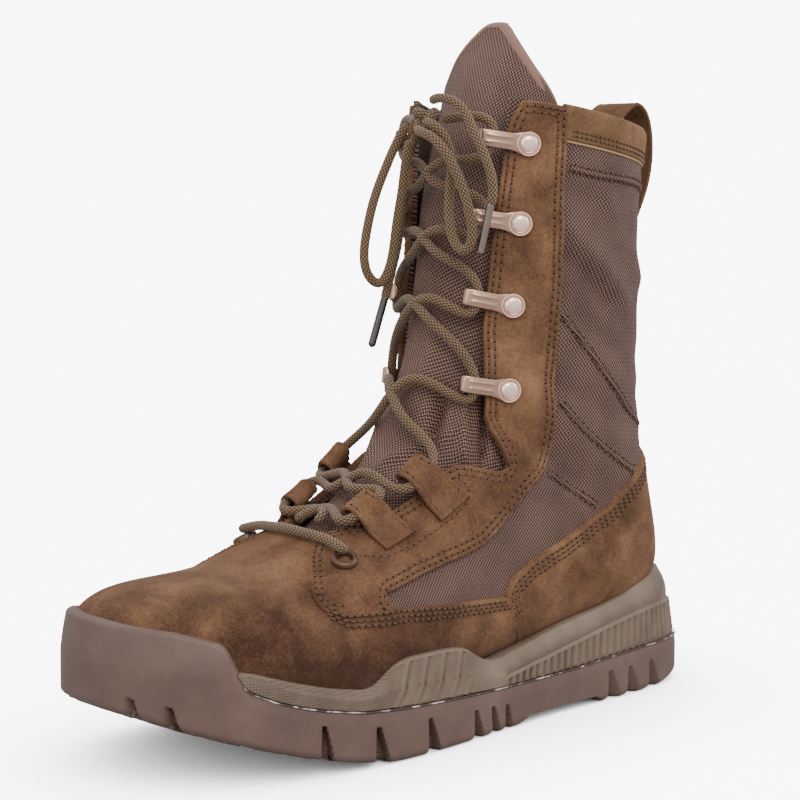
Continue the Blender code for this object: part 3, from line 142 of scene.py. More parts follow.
# ---- Curves and the last ---------------------------------------------------------------------
def spline(places, values, at):
    """Natural cubic spline: bends solved so that the slope runs on at every given place."""
    places = np.asarray(places, float)
    values = np.asarray(values, float)
    count = len(places)
    step = np.diff(places)
    slope = np.diff(values, axis=0) / step.reshape(-1, *[1] * (values.ndim - 1))
    matrix = np.eye(count)
    inner = np.arange(1, count - 1)
    matrix[inner, inner - 1] = step[:-1]
    matrix[inner, inner] = 2 * (step[:-1] + step[1:])
    matrix[inner, inner + 1] = step[1:]
    right = np.zeros(values.shape)
    right[1:-1] = 6 * np.diff(slope, axis=0)
    bend = np.linalg.solve(matrix, right)
    at = np.asarray(at, float)
    i = np.clip(np.searchsorted(places, at, side="right") - 1, 0, count - 2)
    shape = at.shape + (1,) * (values.ndim - 1)
    wide = step[i].reshape(shape)
    after = (at - places[i]).reshape(shape)
    before = (places[i + 1] - at).reshape(shape)
    cubic = (bend[i] * before**3 + bend[i + 1] * after**3) / (6 * wide)
    start = (values[i] / wide - bend[i] * wide / 6) * before
    end = (values[i + 1] / wide - bend[i + 1] * wide / 6) * after
    return cubic + start + end


def ease(value):
    """0 below 0, 1 above 1 and a smooth S between."""
    k = np.clip(value, 0.0, 1.0)
    return k * k * (3 - 2 * k)


S_STEP = 0.02
S_FINE = np.arange(0.0, 16.3, S_STEP)
SECTION = spline(np.arange(len(LAST_ROWS)), LAST_ROWS, S_FINE)
SECTION_LENGTH = np.hypot(SECTION[:, 0] - SECTION[:, 2], SECTION[:, 1] - SECTION[:, 3])
TURN_COUNT = 181


def half_section(widest, top_n, low_n, angle):
    """Superellipse: share of the half width and of the height at an angle from the top."""
    cosine = np.cos(angle)
    across = np.abs(np.sin(angle)) ** (2 / np.where(cosine > 0, top_n, low_n))
    rise = np.abs(cosine) ** (2 / np.where(cosine > 0, top_n, low_n))
    return across, np.where(cosine > 0, widest + (1 - widest) * rise, widest * (1 - rise))


def section_tables(side):
    """Angle and girth at even turns of each fine section, for one side; the angles are read
    closer together at the widest place, where the section turns under."""
    fine = np.linspace(-1.0, 1.0, 2 * TURN_COUNT)
    angles = math.pi / 2 * (1 + np.sign(fine) * np.abs(fine) ** 3)
    half = SECTION[:, 4 if side > 0 else 5]
    across, height = half_section(*SECTION[:, 6:9].T[:, :, None], angles[None, :])
    run = np.hypot(np.diff(across * half[:, None]), np.diff(height * SECTION_LENGTH[:, None]))
    share = np.concatenate((np.zeros((len(run), 1)), np.cumsum(run, axis=1)), axis=1)
    girth = share[:, -1]
    even = np.linspace(0.0, 1.0, TURN_COUNT)
    return np.array([np.interp(even, row / row[-1], angles) for row in share]), girth


ANGLES = {}
GIRTHS = {}
for _side in (1, -1):
    ANGLES[_side], GIRTHS[_side] = section_tables(_side)


def look_up(grid, s, t):
    """Straight interpolation in a table over fine sections and turns from 0 to 1."""
    row = np.clip(s / S_STEP, 0, len(grid) - 1.001)
    column = np.clip(t * (TURN_COUNT - 1), 0, TURN_COUNT - 1.001)
    i = row.astype(int)
    j = column.astype(int)
    a = row - i
    b = column - j
    low = grid[i, j] * (1 - b) + grid[i, j + 1] * b
    high = grid[i + 1, j] * (1 - b) + grid[i + 1, j + 1] * b
    return low * (1 - a) + high * a


def last(s, t, out=0.0):
    """Points in mm at sections s and turns t, grown outward by out mm."""
    s, t, out = np.broadcast_arrays(np.asarray(s, float), np.asarray(t, float),
                                    np.asarray(out, float))
    t = (t + 1) % 2 - 1
    row = [np.interp(s, S_FINE, SECTION[:, k]) for k in range(9)]
    length = np.hypot(row[0] - row[2], row[1] - row[3])
    angle = np.where(t >= 0, look_up(ANGLES[1], s, np.abs(t)), look_up(ANGLES[-1], s, np.abs(t)))
    half = np.where(t >= 0, row[4], row[5]) + out
    across, height = half_section(row[6], row[7], row[8], angle)
    reach = np.clip((TOE_BOX_Y - row[0]) / TOE_SPAN, 0.0, 1.0)
    close_across = (1 - reach**TOE_PLAN_N) ** (1 / TOE_PLAN_N)
    close_height = (1 - reach**TOE_SIDE_N) ** (1 / TOE_SIDE_N)
    along = height * (length + 2 * out) - out
    middle = TOE_MIDDLE * (length + 2 * out) - out
    along = middle + (along - middle) * close_height
    x = np.where(t >= 0, 1.0, -1.0) * across * half * close_across
    y = row[2] + (row[0] - row[2]) / length * along
    z = row[3] + (row[1] - row[3]) / length * along
    y = y + np.minimum(y - TOE_BOX_Y, 0.0) * out / TOE_SPAN
    return np.stack((x, y, z), axis=-1)


def unit(vectors):
    """Vectors divided by their lengths."""
    return vectors / np.maximum(np.linalg.norm(vectors, axis=-1, keepdims=True), 1e-9)


def run_along(points):
    """Running length of a polyline, 0 at its first point."""
    return np.concatenate(([0.0], np.cumsum(np.linalg.norm(np.diff(points, axis=0), axis=1))))


def read_at(at, run, columns):
    """Every column of a table read at places along its run."""
    return np.stack([np.interp(at, run, column) for column in columns.T], axis=1)


def through(rows, count=60):
    """A natural cubic spline through a table's rows, read at an even count of places."""
    return spline(np.arange(len(rows)), rows, np.linspace(0.0, len(rows) - 1.0, count))


def crowd(count):
    """Places from -1 to 1, closer near both: the sine of even quarter turns."""
    return np.sin(np.linspace(-1.0, 1.0, count) * math.pi / 2)


def to_line(points, start, end):
    """Share along a straight line, held at its ends, and the distance from it."""
    run = end - start
    away = points - start
    share = np.clip(away @ run / (run @ run), 0.0, 1.0)
    return share, np.linalg.norm(away - share[..., None] * run, axis=-1)


def beside(path):
    """Direction a quarter turn left of a flat path, at each of its points."""
    tangent = unit(np.gradient(path, axis=0))
    return np.stack((-tangent[:, 1], tangent[:, 0]), axis=1)


def skin_frame(s, t, out=0.0):
    """Place, unit direction to greater t, unit direction to greater s, outward normal."""
    place = last(s, t, out)
    to_t = unit(last(s, np.asarray(t) + 0.004, out) - last(s, np.asarray(t) - 0.004, out))
    to_s = last(np.asarray(s) + 0.04, t, out) - last(np.maximum(np.asarray(s) - 0.04, 0), t, out)
    normal = unit(np.cross(to_t, to_s))
    outward = last(s, t, np.asarray(out) + 1.0) - place
    normal = normal * np.sign(np.sum(normal * outward, axis=-1, keepdims=True) + 1e-12)
    return place, to_t, unit(to_s), normal


def girth_at(s, side=1):
    """Length in mm of a whole turn of one side at sections s."""
    return np.interp(s, S_FINE, GIRTHS[side])


def collar_section(t, drop=0.0):
    """Section where a turn meets the slanted collar plane, lowered by drop mm."""
    s = np.linspace(12.0, 16.2, 85)
    t = np.atleast_1d(t)
    points = last(s[None, :], t[:, None])
    over = points[..., 2] + drop - (COLLAR_Z + COLLAR_SLOPE * (points[..., 1] - COLLAR_Y))
    return np.array([np.interp(0.0, row, s) for row in over])


def fair(rows, s, width=0.1):
    """A table's second column with its corners rounded: the mean of three near places."""
    return sum(np.interp(s + k * width, rows[:, 0], rows[:, 1]) for k in (-1, 0, 1)) / 3


# ---- Relief: soft troughs and ridges ---------------------------------------------------------
# side (+ outer, - inner), first y and z, last y and z, half width, height (a trough is negative)
CREASES = np.array((
    (1, 26.0, 118.0, 58.0, 92.0, 5.0, -1.6),
    (1, 34.0, 128.0, 72.0, 100.0, 5.5, 1.1),
    (1, 40.0, 136.0, 92.0, 112.0, 5.0, -1.0),
    (1, 60.0, 170.0, 104.0, 140.0, 6.0, -0.9),
    (1, 52.0, 188.0, 100.0, 172.0, 7.0, 0.7),
    (1, 88.0, 120.0, 112.0, 128.0, 5.0, -0.8),
    (1, 49.0, 196.0, 84.0, 166.0, 4.5, 1.7),
    (1, 50.0, 184.0, 72.0, 166.0, 4.0, -1.4),
    (1, 51.0, 211.0, 84.0, 193.0, 5.0, -1.3),
    (1, 70.0, 205.0, 98.0, 176.0, 5.0, 1.5),
    (1, 58.0, 160.0, 90.0, 138.0, 5.0, -1.3),
    (1, 60.0, 222.0, 110.0, 214.0, 5.0, 0.7),
    (-1, 28.0, 120.0, 60.0, 94.0, 5.0, -1.6),
    (-1, 38.0, 132.0, 78.0, 104.0, 6.0, 1.1),
    (-1, 50.0, 168.0, 104.0, 142.0, 6.0, -0.9),
    (-1, 56.0, 206.0, 108.0, 190.0, 7.0, -0.7),
    (0, -88.0, 70.0, -80.0, 64.0, 9.0, -0.7),
    (0, -70.0, 61.0, -60.0, 42.0, 6.0, -0.5),
    (1, -63.0, 74.0, -79.0, 57.0, 3.2, -1.8),
))


def relief(points):
    """Sum of the creases: each is its height times a bell of the distance to its line."""
    lift = np.zeros(points.shape[:-1])
    for side, y0, z0, y1, z1, width, height in CREASES:
        _, away = to_line(points[..., 1:], np.array((y0, z0)), np.array((y1, z1)))
        on_side = 1.0 if side == 0 else ease(points[..., 0] * side / 6.0)
        lift += height * np.exp(-(away / width) ** 2) * on_side
    return lift


def skin(s, t, out=0.0):
    """The last with its creases: grown by out plus the relief of the place."""
    return last(s, t, np.asarray(out) + relief(last(s, t)))


# ---- Meshes ----------------------------------------------------------------------------------
def make_mesh(name, vertices, quads, look, node=None, uv=None, weld=True):
    """A mesh object from arrays: vertices in mm, quads as four indices, uv in metres."""
    places = (np.asarray(vertices, float).reshape(-1, 3) - ORIGIN) * MM
    quads = np.asarray(quads, int)
    mesh = bpy.data.meshes.new(name)
    mesh.vertices.add(len(places))
    mesh.vertices.foreach_set("co", places.ravel())
    mesh.loops.add(quads.size)
    mesh.loops.foreach_set("vertex_index", quads.ravel())
    mesh.polygons.add(len(quads))
    mesh.polygons.foreach_set("loop_start", np.arange(0, quads.size, 4))
    mesh.polygons.foreach_set("loop_total", np.full(len(quads), 4))
    if uv is not None:
        layer = mesh.uv_layers.new(name="cloth")
        layer.data.foreach_set("uv", (np.asarray(uv, float).reshape(-1, 2)[quads.ravel()]).ravel())
    mesh.update()
    mesh.validate()
    if weld:
        work = bmesh.new()
        work.from_mesh(mesh)
        bmesh.ops.remove_doubles(work, verts=work.verts, dist=2e-6)
        bmesh.ops.dissolve_degenerate(work, edges=work.edges, dist=1e-7)
        bmesh.ops.recalc_face_normals(work, faces=work.faces)
        work.to_mesh(mesh)
        work.free()
    mesh.polygons.foreach_set("use_smooth", np.ones(len(mesh.polygons), bool))
    mesh.set_sharp_from_angle(angle=math.radians(50))
    mesh.materials.append(look)
    made = bpy.data.objects.new(name, mesh)
    bpy.context.scene.collection.objects.link(made)
    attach(made, "root")
    if node:
        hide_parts(*([node] if isinstance(node, str) else node))
    return made


def grid_quads(rows, columns, cyclic_rows=False, cyclic_columns=False, offset=0):
    """Quads of a grid stored row by row, as one array."""
    i = np.arange(rows if cyclic_rows else rows - 1)[:, None]
    j = np.arange(columns if cyclic_columns else columns - 1)[None, :]
    near = i * columns
    far = (i + 1) % rows * columns
    k = (j + 1) % columns
    quads = np.stack(np.broadcast_arrays(near + j, near + k, far + k, far + j), axis=-1)
    return quads.reshape(-1, 4) + offset


def slab_quads(rows, columns, joined=0):
    """Quads of the closed solid between two grids of the same shape, lower grid first.

    The first joined rows close on themselves, so they get no side walls.
    """
    count = rows * columns
    top = grid_quads(rows, columns, offset=count)
    low = grid_quads(rows, columns)[:, ::-1]
    j = np.arange(columns - 1)
    i = np.arange(joined, rows - 1) * columns
    last_row = (rows - 1) * columns
    sides = [np.stack((j, j + 1, j + 1 + count, j + count), axis=1),
             np.stack((last_row + j + 1, last_row + j, last_row + j + count,
                       last_row + j + 1 + count), axis=1),
             np.stack((i + columns, i, i + count, i + columns + count), axis=1),
             np.stack((i + columns - 1, i + 2 * columns - 1, i + 2 * columns - 1 + count,
                       i + columns - 1 + count), axis=1)]
    return np.concatenate([low, top] + sides)


def slab(name, lower, upper, look, node=None, uv=None, joined=0):
    """A closed solid between two grids of points."""
    rows, columns = lower.shape[:2]
    vertices = np.concatenate((lower.reshape(-1, 3), upper.reshape(-1, 3)))
    if uv is not None:
        uv = np.concatenate((uv.reshape(-1, 2), uv.reshape(-1, 2)))
    return make_mesh(name, vertices, slab_quads(rows, columns, joined), look, node, uv)


def carried(profile, places, first, second):
    """A closed profile carried along a path: its two numbers go along first and second."""
    profile = np.asarray(profile, float)
    return (places[:, None] + first[:, None] * profile[..., 0:1]
            + second[:, None] * profile[..., 1:2])


def even_path(points, spacing):
    """Points at an even spacing along a polyline of many points."""
    run = run_along(points)
    count = max(2, int(round(run[-1] / spacing)) + 1)
    return read_at(np.linspace(0.0, run[-1], count), run, points)


def pinched(points):
    """A swept grid whose first and last rows are drawn to their middles, which closes it."""
    for end in (0, -1):
        points[end] = points[end].mean(axis=0)
    return points


def smooth_path(points, spacing):
    """A natural cubic spline through route points, read at an even spacing; each step counts
    by its square root, so that short steps don't bulge."""
    points = np.asarray(points, float)
    steps = np.linalg.norm(np.diff(points, axis=0), axis=1) ** 0.5
    run = np.concatenate(([0.0], np.cumsum(steps)))
    dense = spline(run, points, np.linspace(0.0, run[-1], 30 * len(points)))
    return even_path(dense, spacing)


def path_frames(path):
    """Tangent and two turned-as-little-as-can-be directions across a path."""
    tangent = unit(np.gradient(path, axis=0))
    first = np.empty_like(path)
    start = np.cross(tangent[0], (0.3, 0.5, 0.8))
    first[0] = start / np.linalg.norm(start)
    for k in range(1, len(path)):
        ahead = first[k - 1] - tangent[k] * np.dot(first[k - 1], tangent[k])
        first[k] = ahead / np.linalg.norm(ahead)
    return tangent, first, np.cross(tangent, first)


# ---- Materials -------------------------------------------------------------------------------
def linear(hex_colour):
    """An sRGB hex colour as linear numbers."""
    value = np.array([int(hex_colour[k:k + 2], 16) for k in (1, 3, 5)]) / 255
    value = np.where(value <= 0.04045, value / 12.92, ((value + 0.055) / 1.055) ** 2.4)
    return (*value.tolist(), 1.0)


def add_node(tree, kind, inputs=None, **settings):
    """Adds a node: settings are its properties, inputs are values or sockets to link."""
    made = tree.nodes.new(kind)
    for key, value in settings.items():
        setattr(made, key, value)
    for key, value in (inputs or {}).items():
        socket = made.inputs[key]
        if isinstance(value, bpy.types.NodeSocket):
            tree.links.new(value, socket)
        else:
            socket.default_value = value
    return made


def new_look(name, sheen=None, **shader_values):
    """A material with a Principled shader and the given plain values on its sockets."""
    look = bpy.data.materials.new(name)
    look.use_nodes = True
    shader = look.node_tree.nodes["Principled BSDF"]
    for key, value in shader_values.items():
        shader.inputs[key.replace("_", " ")].default_value = value
    if sheen:
        shader.inputs["Sheen Tint"].default_value = linear(sheen)
    return look, look.node_tree, shader


def blend_colours(tree, factor, stops):
    """A colour ramp over a factor; stops are (place, hex colour)."""
    ramp = add_node(tree, "ShaderNodeValToRGB", {"Fac": factor})
    elements = ramp.color_ramp.elements
    for element, (place, colour) in zip((elements[0], elements[1]), (stops[0], stops[-1])):
        element.position = place
        element.color = linear(colour)
    for place, colour in stops[1:-1]:
        elements.new(place).color = linear(colour)
    return ramp.outputs["Color"]


def maths(tree, operation, first, second=0.0, third=0.0):
    """A Math node's value from numbers or sockets."""
    return add_node(tree, "ShaderNodeMath", {0: first, 1: second, 2: third},
                    operation=operation).outputs[0]


def mixed(tree, first, first_share, second, second_share):
    """The sum of two values, each by its share."""
    return maths(tree, "MULTIPLY_ADD", first, first_share,
                 maths(tree, "MULTIPLY", second, second_share))


def wave(tree, value, rate, power=None):
    """Size of a sine of a value, whose ridges lie pi / rate apart."""
    ridge = maths(tree, "ABSOLUTE", maths(tree, "SINE", maths(tree, "MULTIPLY", value, rate)))
    return maths(tree, "POWER", ridge, power) if power else ridge


def coordinates(tree, kind="Object"):
    """The surface's own coordinates in metres, and their separate axes."""
    place = add_node(tree, "ShaderNodeTexCoord").outputs[kind]
    return place, add_node(tree, "ShaderNodeSeparateXYZ", {"Vector": place}).outputs


def noise(tree, place, scale, detail, rough=0.5, distortion=0.0):
    """A cloudy pattern with scale clouds in a metre."""
    return add_node(tree, "ShaderNodeTexNoise", {
        "Vector": place, "Scale": scale, "Detail": detail, "Roughness": rough,
        "Distortion": distortion}).outputs["Fac"]


def fade(tree, value, start, end):
    """0 at start, 1 at end and straight between."""
    return add_node(tree, "ShaderNodeMapRange", {
        "Value": value, "From Min": start, "From Max": end}).outputs["Result"]


def finish(tree, shader, tone, stops, height=None, strength=1.0, depth=0.0):
    """Colours the shader by a tone, and bumps it by a height up to depth metres."""
    tree.links.new(blend_colours(tree, tone, stops), shader.inputs["Base Color"])
    if height is not None:
        bump = add_node(tree, "ShaderNodeBump", {"Strength": strength, "Distance": depth,
                                                 "Height": height})
        tree.links.new(bump.outputs["Normal"], shader.inputs["Normal"])


def suede_look(name, stops):
    """Brushed cowhide suede: a short raised nap, so it is matt, glows a little at the rim and
    shows lighter and darker patches some 15 mm across where the nap has been stroked; the
    forefoot is painted darker towards the sole and the toe, as painted shade."""
    look, tree, shader = new_look(name, "#c89a78", Roughness=0.92, Sheen_Weight=0.18,
                                  Sheen_Roughness=0.45, Specular_IOR_Level=0.25)
    place, axes = coordinates(tree)
    stroke = noise(tree, place, 48.0, 5.0, 0.62, 0.25)
    nap = noise(tree, place, 900.0, 3.0, 0.7)
    # painted shade: the forefoot low down is coloured darker towards the sole and the toe
    painted_shade = maths(tree, "MULTIPLY", fade(tree, axes["Z"], 0.078, 0.038),
                 fade(tree, axes["Y"], 0.01, -0.04))
    tone = maths(tree, "SUBTRACT", mixed(tree, nap, 0.42, stroke, 0.78),
                 maths(tree, "MULTIPLY", painted_shade, 0.19))
    finish(tree, shader, tone, tuple(zip((0.36, 0.52, 0.66, 0.86), stops)), nap, 0.55, 0.0003)
    return look


def nylon_look(name, turn, stops):
    """Coarse plain-woven nylon of 1000 denier: threads 0.5 mm wide, drawn 1.25 mm wide so that
    they show; each thread is a small round ridge, and its colour follows its height: a painted
    highlight on the thread tops and painted shade in the gaps between."""
    look, tree, shader = new_look(name, "#c89a88", Roughness=0.6, Sheen_Weight=0.06,
                                  Specular_IOR_Level=0.3)
    turned_cloth = add_node(tree, "ShaderNodeMapping", {
        "Vector": coordinates(tree, "UV")[0], "Rotation": (0.0, 0.0, math.radians(turn)),
        "Scale": (1 / THREAD_WIDTH, 1 / THREAD_WIDTH, 1.0)}).outputs["Vector"]
    axes = add_node(tree, "ShaderNodeSeparateXYZ", {"Vector": turned_cloth}).outputs
    over = add_node(tree, "ShaderNodeTexChecker", {
        "Vector": turned_cloth, "Scale": 1.0, "Color1": (1, 1, 1, 1),
        "Color2": (0, 0, 0, 1)}).outputs["Fac"]
    weave = add_node(tree, "ShaderNodeMix", {
        "Factor": over, 2: wave(tree, axes["X"], math.pi), 3: wave(tree, axes["Y"], math.pi)},
        data_type="FLOAT").outputs[0]
    wear = noise(tree, coordinates(tree)[0], 60.0, 3.0)
    # the weave's height also sets the colour: painted highlight on thread tops, painted shade in
    # the gaps
    finish(tree, shader, mixed(tree, wear, 0.24, weave, 0.88), stops, weave, 0.8, 0.00035)
    return look


def braid_look():
    """Round braided polyester lace: olive-tan strands in a herringbone, with painted shade as dark
    flecks where one strand dives under the next; u goes round the cord and v is its length."""
    look, tree, shader = new_look("braided_lace", Roughness=0.78, Sheen_Weight=0.2,
                                  Specular_IOR_Level=0.35)
    cloth, axes = coordinates(tree, "UV")
    round_part = maths(tree, "MULTIPLY", axes["X"], BRAID_STRANDS * math.pi)
    long_part = maths(tree, "MULTIPLY", axes["Y"], math.pi / (BRAID_PITCH * MM))
    strands = [maths(tree, "SINE", maths(tree, way, round_part, long_part))
               for way in ("ADD", "SUBTRACT")]
    cross = maths(tree, "ABSOLUTE", maths(tree, "MULTIPLY", *strands))
    # the braid's height also sets the colour: painted shade where one strand dives under the next
    tone = mixed(tree, noise(tree, cloth, 1500.0, 2.0), 0.3, cross, 0.8)
    finish(tree, shader, tone, ((0.12, "#1d140c"), (0.28, "#3c2b1b"), (0.55, "#6d533a"),
                                (0.9, "#937553")), cross, 0.7, 0.0003)
    return look


def rubber_look():
    """Moulded carbon-free rubber: smooth but matt, with faint dusty smears."""
    look, tree, shader = new_look("moulded_rubber", Roughness=0.56, Specular_IOR_Level=0.42)
    place, _ = coordinates(tree)
    finish(tree, shader, noise(tree, place, 35.0, 6.0, 0.65),
           ((0.3, "#56423b"), (0.55, "#634d45"), (0.8, "#705a51")),
           noise(tree, place, 1400.0, 2.0), 0.18, 0.0002)
    return look


def foam_look():
    """Moulded polyurethane midsole: matt, paler than the rubber, with a fine square emboss of
    1.1 mm pitch ahead of the instep, whose pits are also painted darker as painted shade."""
    look, tree, shader = new_look("moulded_midsole", Roughness=0.6, Specular_IOR_Level=0.4)
    place, axes = coordinates(tree)
    lines = [wave(tree, axes[axis], math.pi / EMBOSS_PITCH, 0.35) for axis in ("Y", "Z")]
    gaps = maths(tree, "SUBTRACT", 1.0, maths(tree, "MINIMUM", *lines))
    pits = maths(tree, "MULTIPLY", gaps, fade(tree, axes["Y"], -0.046, -0.05))
    # painted shade: the emboss's pits darken the colour
    tone = maths(tree, "SUBTRACT", noise(tree, place, 45.0, 5.0, 0.6),
                 maths(tree, "MULTIPLY", pits, 0.4))
    finish(tree, shader, tone, ((0.25, "#5b4b3f"), (0.5, "#716152"), (0.8, "#847263")),
           maths(tree, "SUBTRACT", 1.0, pits), 0.5, 0.0003)
    return look


def cement_look():
    """Cement squeezed out of the joint: a dark line with pale glossy flecks 3 to 8 mm long."""
    look, tree, shader = new_look("cement_line", Roughness=0.3)
    finish(tree, shader, noise(tree, coordinates(tree)[0], 190.0, 2.0),
           ((0.5, "#43342f"), (0.62, "#c9beb4")))
    return look


def plain_look(name, colour, **values):
    """A plain finish, one colour all over."""
    look, _, shader = new_look(name, **values)
    shader.inputs["Base Color"].default_value = linear(colour)
    return look


BRAID_STRANDS = 8
BRAID_PITCH = 1.9
THREAD_WIDTH = 0.00125
EMBOSS_PITCH = 0.0011
SUEDE = suede_look("brushed_suede", ("#3a2418", "#583c2a", "#705038", "#8f6a4f"))
# the collar's cuff: smoother, worn and golden
CUFF_SUEDE = suede_look("golden_cuff_suede", ("#4c3423", "#654932", "#775a3f", "#8f7152"))
NYLON = nylon_look("woven_nylon", 40.0, ((0.2, "#0d0705"), (0.5, "#2b1b16"), (0.8, "#543b33"),
                                          (1.0, "#88685d")))
TONGUE_NYLON = nylon_look("woven_tongue_nylon", 52.0,
                          ((0.2, "#0e0806"), (0.5, "#2f1e18"), (0.8, "#5c4137"),
                           (1.0, "#907064")))
LACE = braid_look()
RUBBER = rubber_look()
FOAM = foam_look()
# waxed polyester sewing thread: a dull low shine on each stitch
THREAD = plain_look("sewing_thread", "#523a29", Roughness=0.7)
# needle holes and deep gaps, where no light comes back
SHADE = plain_look("needle_hole", "#2a1b12", Roughness=0.95, Specular_IOR_Level=0.1)
# grosgrain binding tape: smooth and a little paler than the cloth it edges
BINDING = plain_look("binding_tape", "#805d4e", Roughness=0.7, Sheen_Weight=0.2)
# brushed steel with a warm champagne plating, soft bright glints
HOOK_METAL = plain_look("champagne_plating", "#b4917f", Metallic=1.0, Roughness=0.3)
# the rivet's cap and ring: the same plating painted brighter, a painted highlight
CAP_PAINTED_HIGHLIGHT = plain_look("rivet_cap_painted_highlight", "#ffdccd", Metallic=1.0, Roughness=0.28)
# raw leather edge below the cuff
PIPING = plain_look("raw_leather_edge", "#b08d68", Roughness=0.7)
GLUE = cement_look()
# stove enamelled brass, dark brown with a worn satin rim
EYELET_METAL = plain_look("enamelled_ring", "#5c4434", Metallic=0.6, Roughness=0.38)
# worn nickel crimp at the lace's other end
TIP_METAL = plain_look("nickel_tip", "#8d8077", Metallic=1.0, Roughness=0.4)
# clear shrunk film over the lace end: smooth and glossy
FILM = plain_look("lace_tip_film", "#2a1f18", Roughness=0.18, Coat_Weight=0.6)
# needled polyester felt of the footbed and lining: flat and dark
LINING = plain_look("dark_lining", "#33261f", Roughness=0.95, Specular_IOR_Level=0.15)


# ---- Cloth coordinates -----------------------------------------------------------------------
def level_girth(side):
    """Level distance from the back line to each turn of each fine section, by 0..1 turns."""
    turns = np.linspace(0.0, 1.0, TURN_COUNT) * side * 0.99999
    points = last(S_FINE[:, None], turns[None, :])
    run = np.linalg.norm(np.diff(points[..., :2], axis=1), axis=-1)
    total = np.concatenate((np.cumsum(run[:, ::-1], axis=1)[:, ::-1], np.zeros((len(run), 1))),
                           axis=1)
    return total - SECTION[:, 2:3]


LEVEL = {1: level_girth(1), -1: level_girth(-1)}


def cloth_uv(s, t):
    """Unrolled cloth place in metres: level distance round the boot, and height."""
    s, t = np.broadcast_arrays(np.asarray(s, float), np.asarray(t, float))
    t = (t + 1) % 2 - 1
    u = np.where(t >= 0, look_up(LEVEL[1], s, np.abs(t)), -look_up(LEVEL[-1], s, np.abs(t)))
    return np.stack((u, last(s, t)[..., 2]), axis=-1) * MM


TURNS_FINE = np.linspace(-1.0, 1.0, 401)
COLLAR_AT = collar_section(TURNS_FINE)


def below_collar(s, t):
    """Sections held at or below the collar plane."""
    turn = (np.asarray(t, float) + 1) % 2 - 1
    return np.minimum(s, np.interp(turn, TURNS_FINE, COLLAR_AT))


# ---- The nylon shell -------------------------------------------------------------------------
THROAT_FADE = np.concatenate((((0.0, 0.0), (4.2, 0.0)), THROAT_ROWS))


def nylon_shell():
    """Outer and inner skin of the boot, wall thickness apart, from throat edge to throat edge."""
    s = np.concatenate((np.linspace(0.1, 3.0, 16), np.linspace(3.1, 9.0, 72),
                        np.linspace(9.08, 15.6, 68)))
    edge = fair(THROAT_FADE, s, 0.06) + np.where(s > 4.2, 0.012, 0.0)
    share = np.linspace(0.0, 1.0, 148)
    t = edge[:, None] + share[None, :] * (2 - 2 * edge[:, None])
    s = below_collar(s[:, None] + 0 * t, t)
    slab("nylon_shell", skin(s, t, -WALL), skin(s, t), NYLON, "upper", cloth_uv(s, t))


# ---- Sewn panels -----------------------------------------------------------------------------
EDGE_STEPS = np.array((0.0, 0.1, 0.3, 0.6, 1.0, 1.5, 2.0, 2.5, 3.0, 3.6, 4.3, 5.0, 5.8))
PANEL_EDGE = 1.1
PANEL_LOW = -0.3
FURROW_DEPTH = 0.28
FURROW_WIDTH = 0.7
# mm per section just under the collar
COLLAR_STEP = 22.0


def quarter(distance, radius):
    """Rise of a rounded edge: a quarter circle over radius mm."""
    k = np.clip(distance / radius, 0.0, 1.0)
    return np.sqrt(1 - (1 - k) ** 2)


def slant(s, t):
    """Sine of the angle between an edge and the direction round the boot."""
    around = skin_frame(s, t)[1]
    run = unit(np.gradient(last(s, t), axis=0))
    return np.clip(np.linalg.norm(np.cross(run, around), axis=-1), 0.3, 1.0)


def panel(name, s, t_a, t_b, high, middle, look, node, grooves=(), top_edge=False, fixed=False):
    """A sewn panel between two edge turns at each section.

    Its height over the skin is a quarter circle near its edges and flat inside, less a shallow
    bell shaped furrow under each row of stitches, except where the edge runs round the boot,
    so that no furrow is drawn out there. With fixed columns those inside keep the same
    turns at every section, pushed no more than the edges need.
    """
    girth = girth_at(s)
    width = (t_b - t_a) * girth
    reach = 0.42 * width / EDGE_STEPS[-1]
    grow_a = np.minimum(1 / slant(s, t_a), reach)
    grow_b = np.minimum(1 / slant(s, t_b), reach)
    near_a = EDGE_STEPS[None, :] * grow_a[:, None]
    near_b = width[:, None] - EDGE_STEPS[None, ::-1] * grow_b[:, None]
    share = np.linspace(0.0, 1.0, middle + 2)[1:-1]
    if fixed:
        turns = t_a.min() + (t_b.max() - t_a.min()) * share
        apart = 0.1 * np.arange(1, middle + 1)
        inner = (turns[None, :] - t_a[:, None]) * girth[:, None]
        inner = np.maximum(inner, near_a[:, -1:] + apart)
        inner = np.minimum(inner, near_b[:, :1] - apart[::-1])
    else:
        inner = near_a[:, -1:] + share[None, :] * (near_b[:, :1] - near_a[:, -1:])
    along = np.concatenate((near_a, inner, near_b), axis=1)
    t = t_a[:, None] + along / girth[:, None]
    distance = np.minimum(along / grow_a[:, None], (width[:, None] - along) / grow_b[:, None])
    rows = below_collar(s[:, None] + 0 * t, t) if top_edge else s[:, None] + 0 * t
    if top_edge:
        turn = (t + 1) % 2 - 1
        gap = np.interp(turn, TURNS_FINE, COLLAR_AT) - rows
        distance = np.minimum(distance, gap * COLLAR_STEP)
    closed = width > 2 * girth * 0.9995
    distance = np.where(closed[:, None], 99.0, distance)
    rise = PANEL_LOW + (high - PANEL_LOW) * quarter(distance, PANEL_EDGE)
    furrow = FURROW_DEPTH * ease((1.8 - np.maximum(grow_a, grow_b)) / 0.5)[:, None]
    for groove in grooves:
        rise = rise - furrow * np.exp(-((distance - groove) / FURROW_WIDTH) ** 2)
    slab(name, skin(rows, t, PANEL_LOW), skin(rows, t, rise), look, node,
         joined=max(0, int(closed.sum()) - 1))


# heights over the skin, and distances of the rows of stitches from an edge
VAMP_HIGH = 1.7
STAY_HIGH = 2.5
COUNTER_HIGH = 1.9
STAY_ROWS_AT = (2.2, 4.6)
BAND_ROWS_AT = (2.0, 3.9, 5.8)


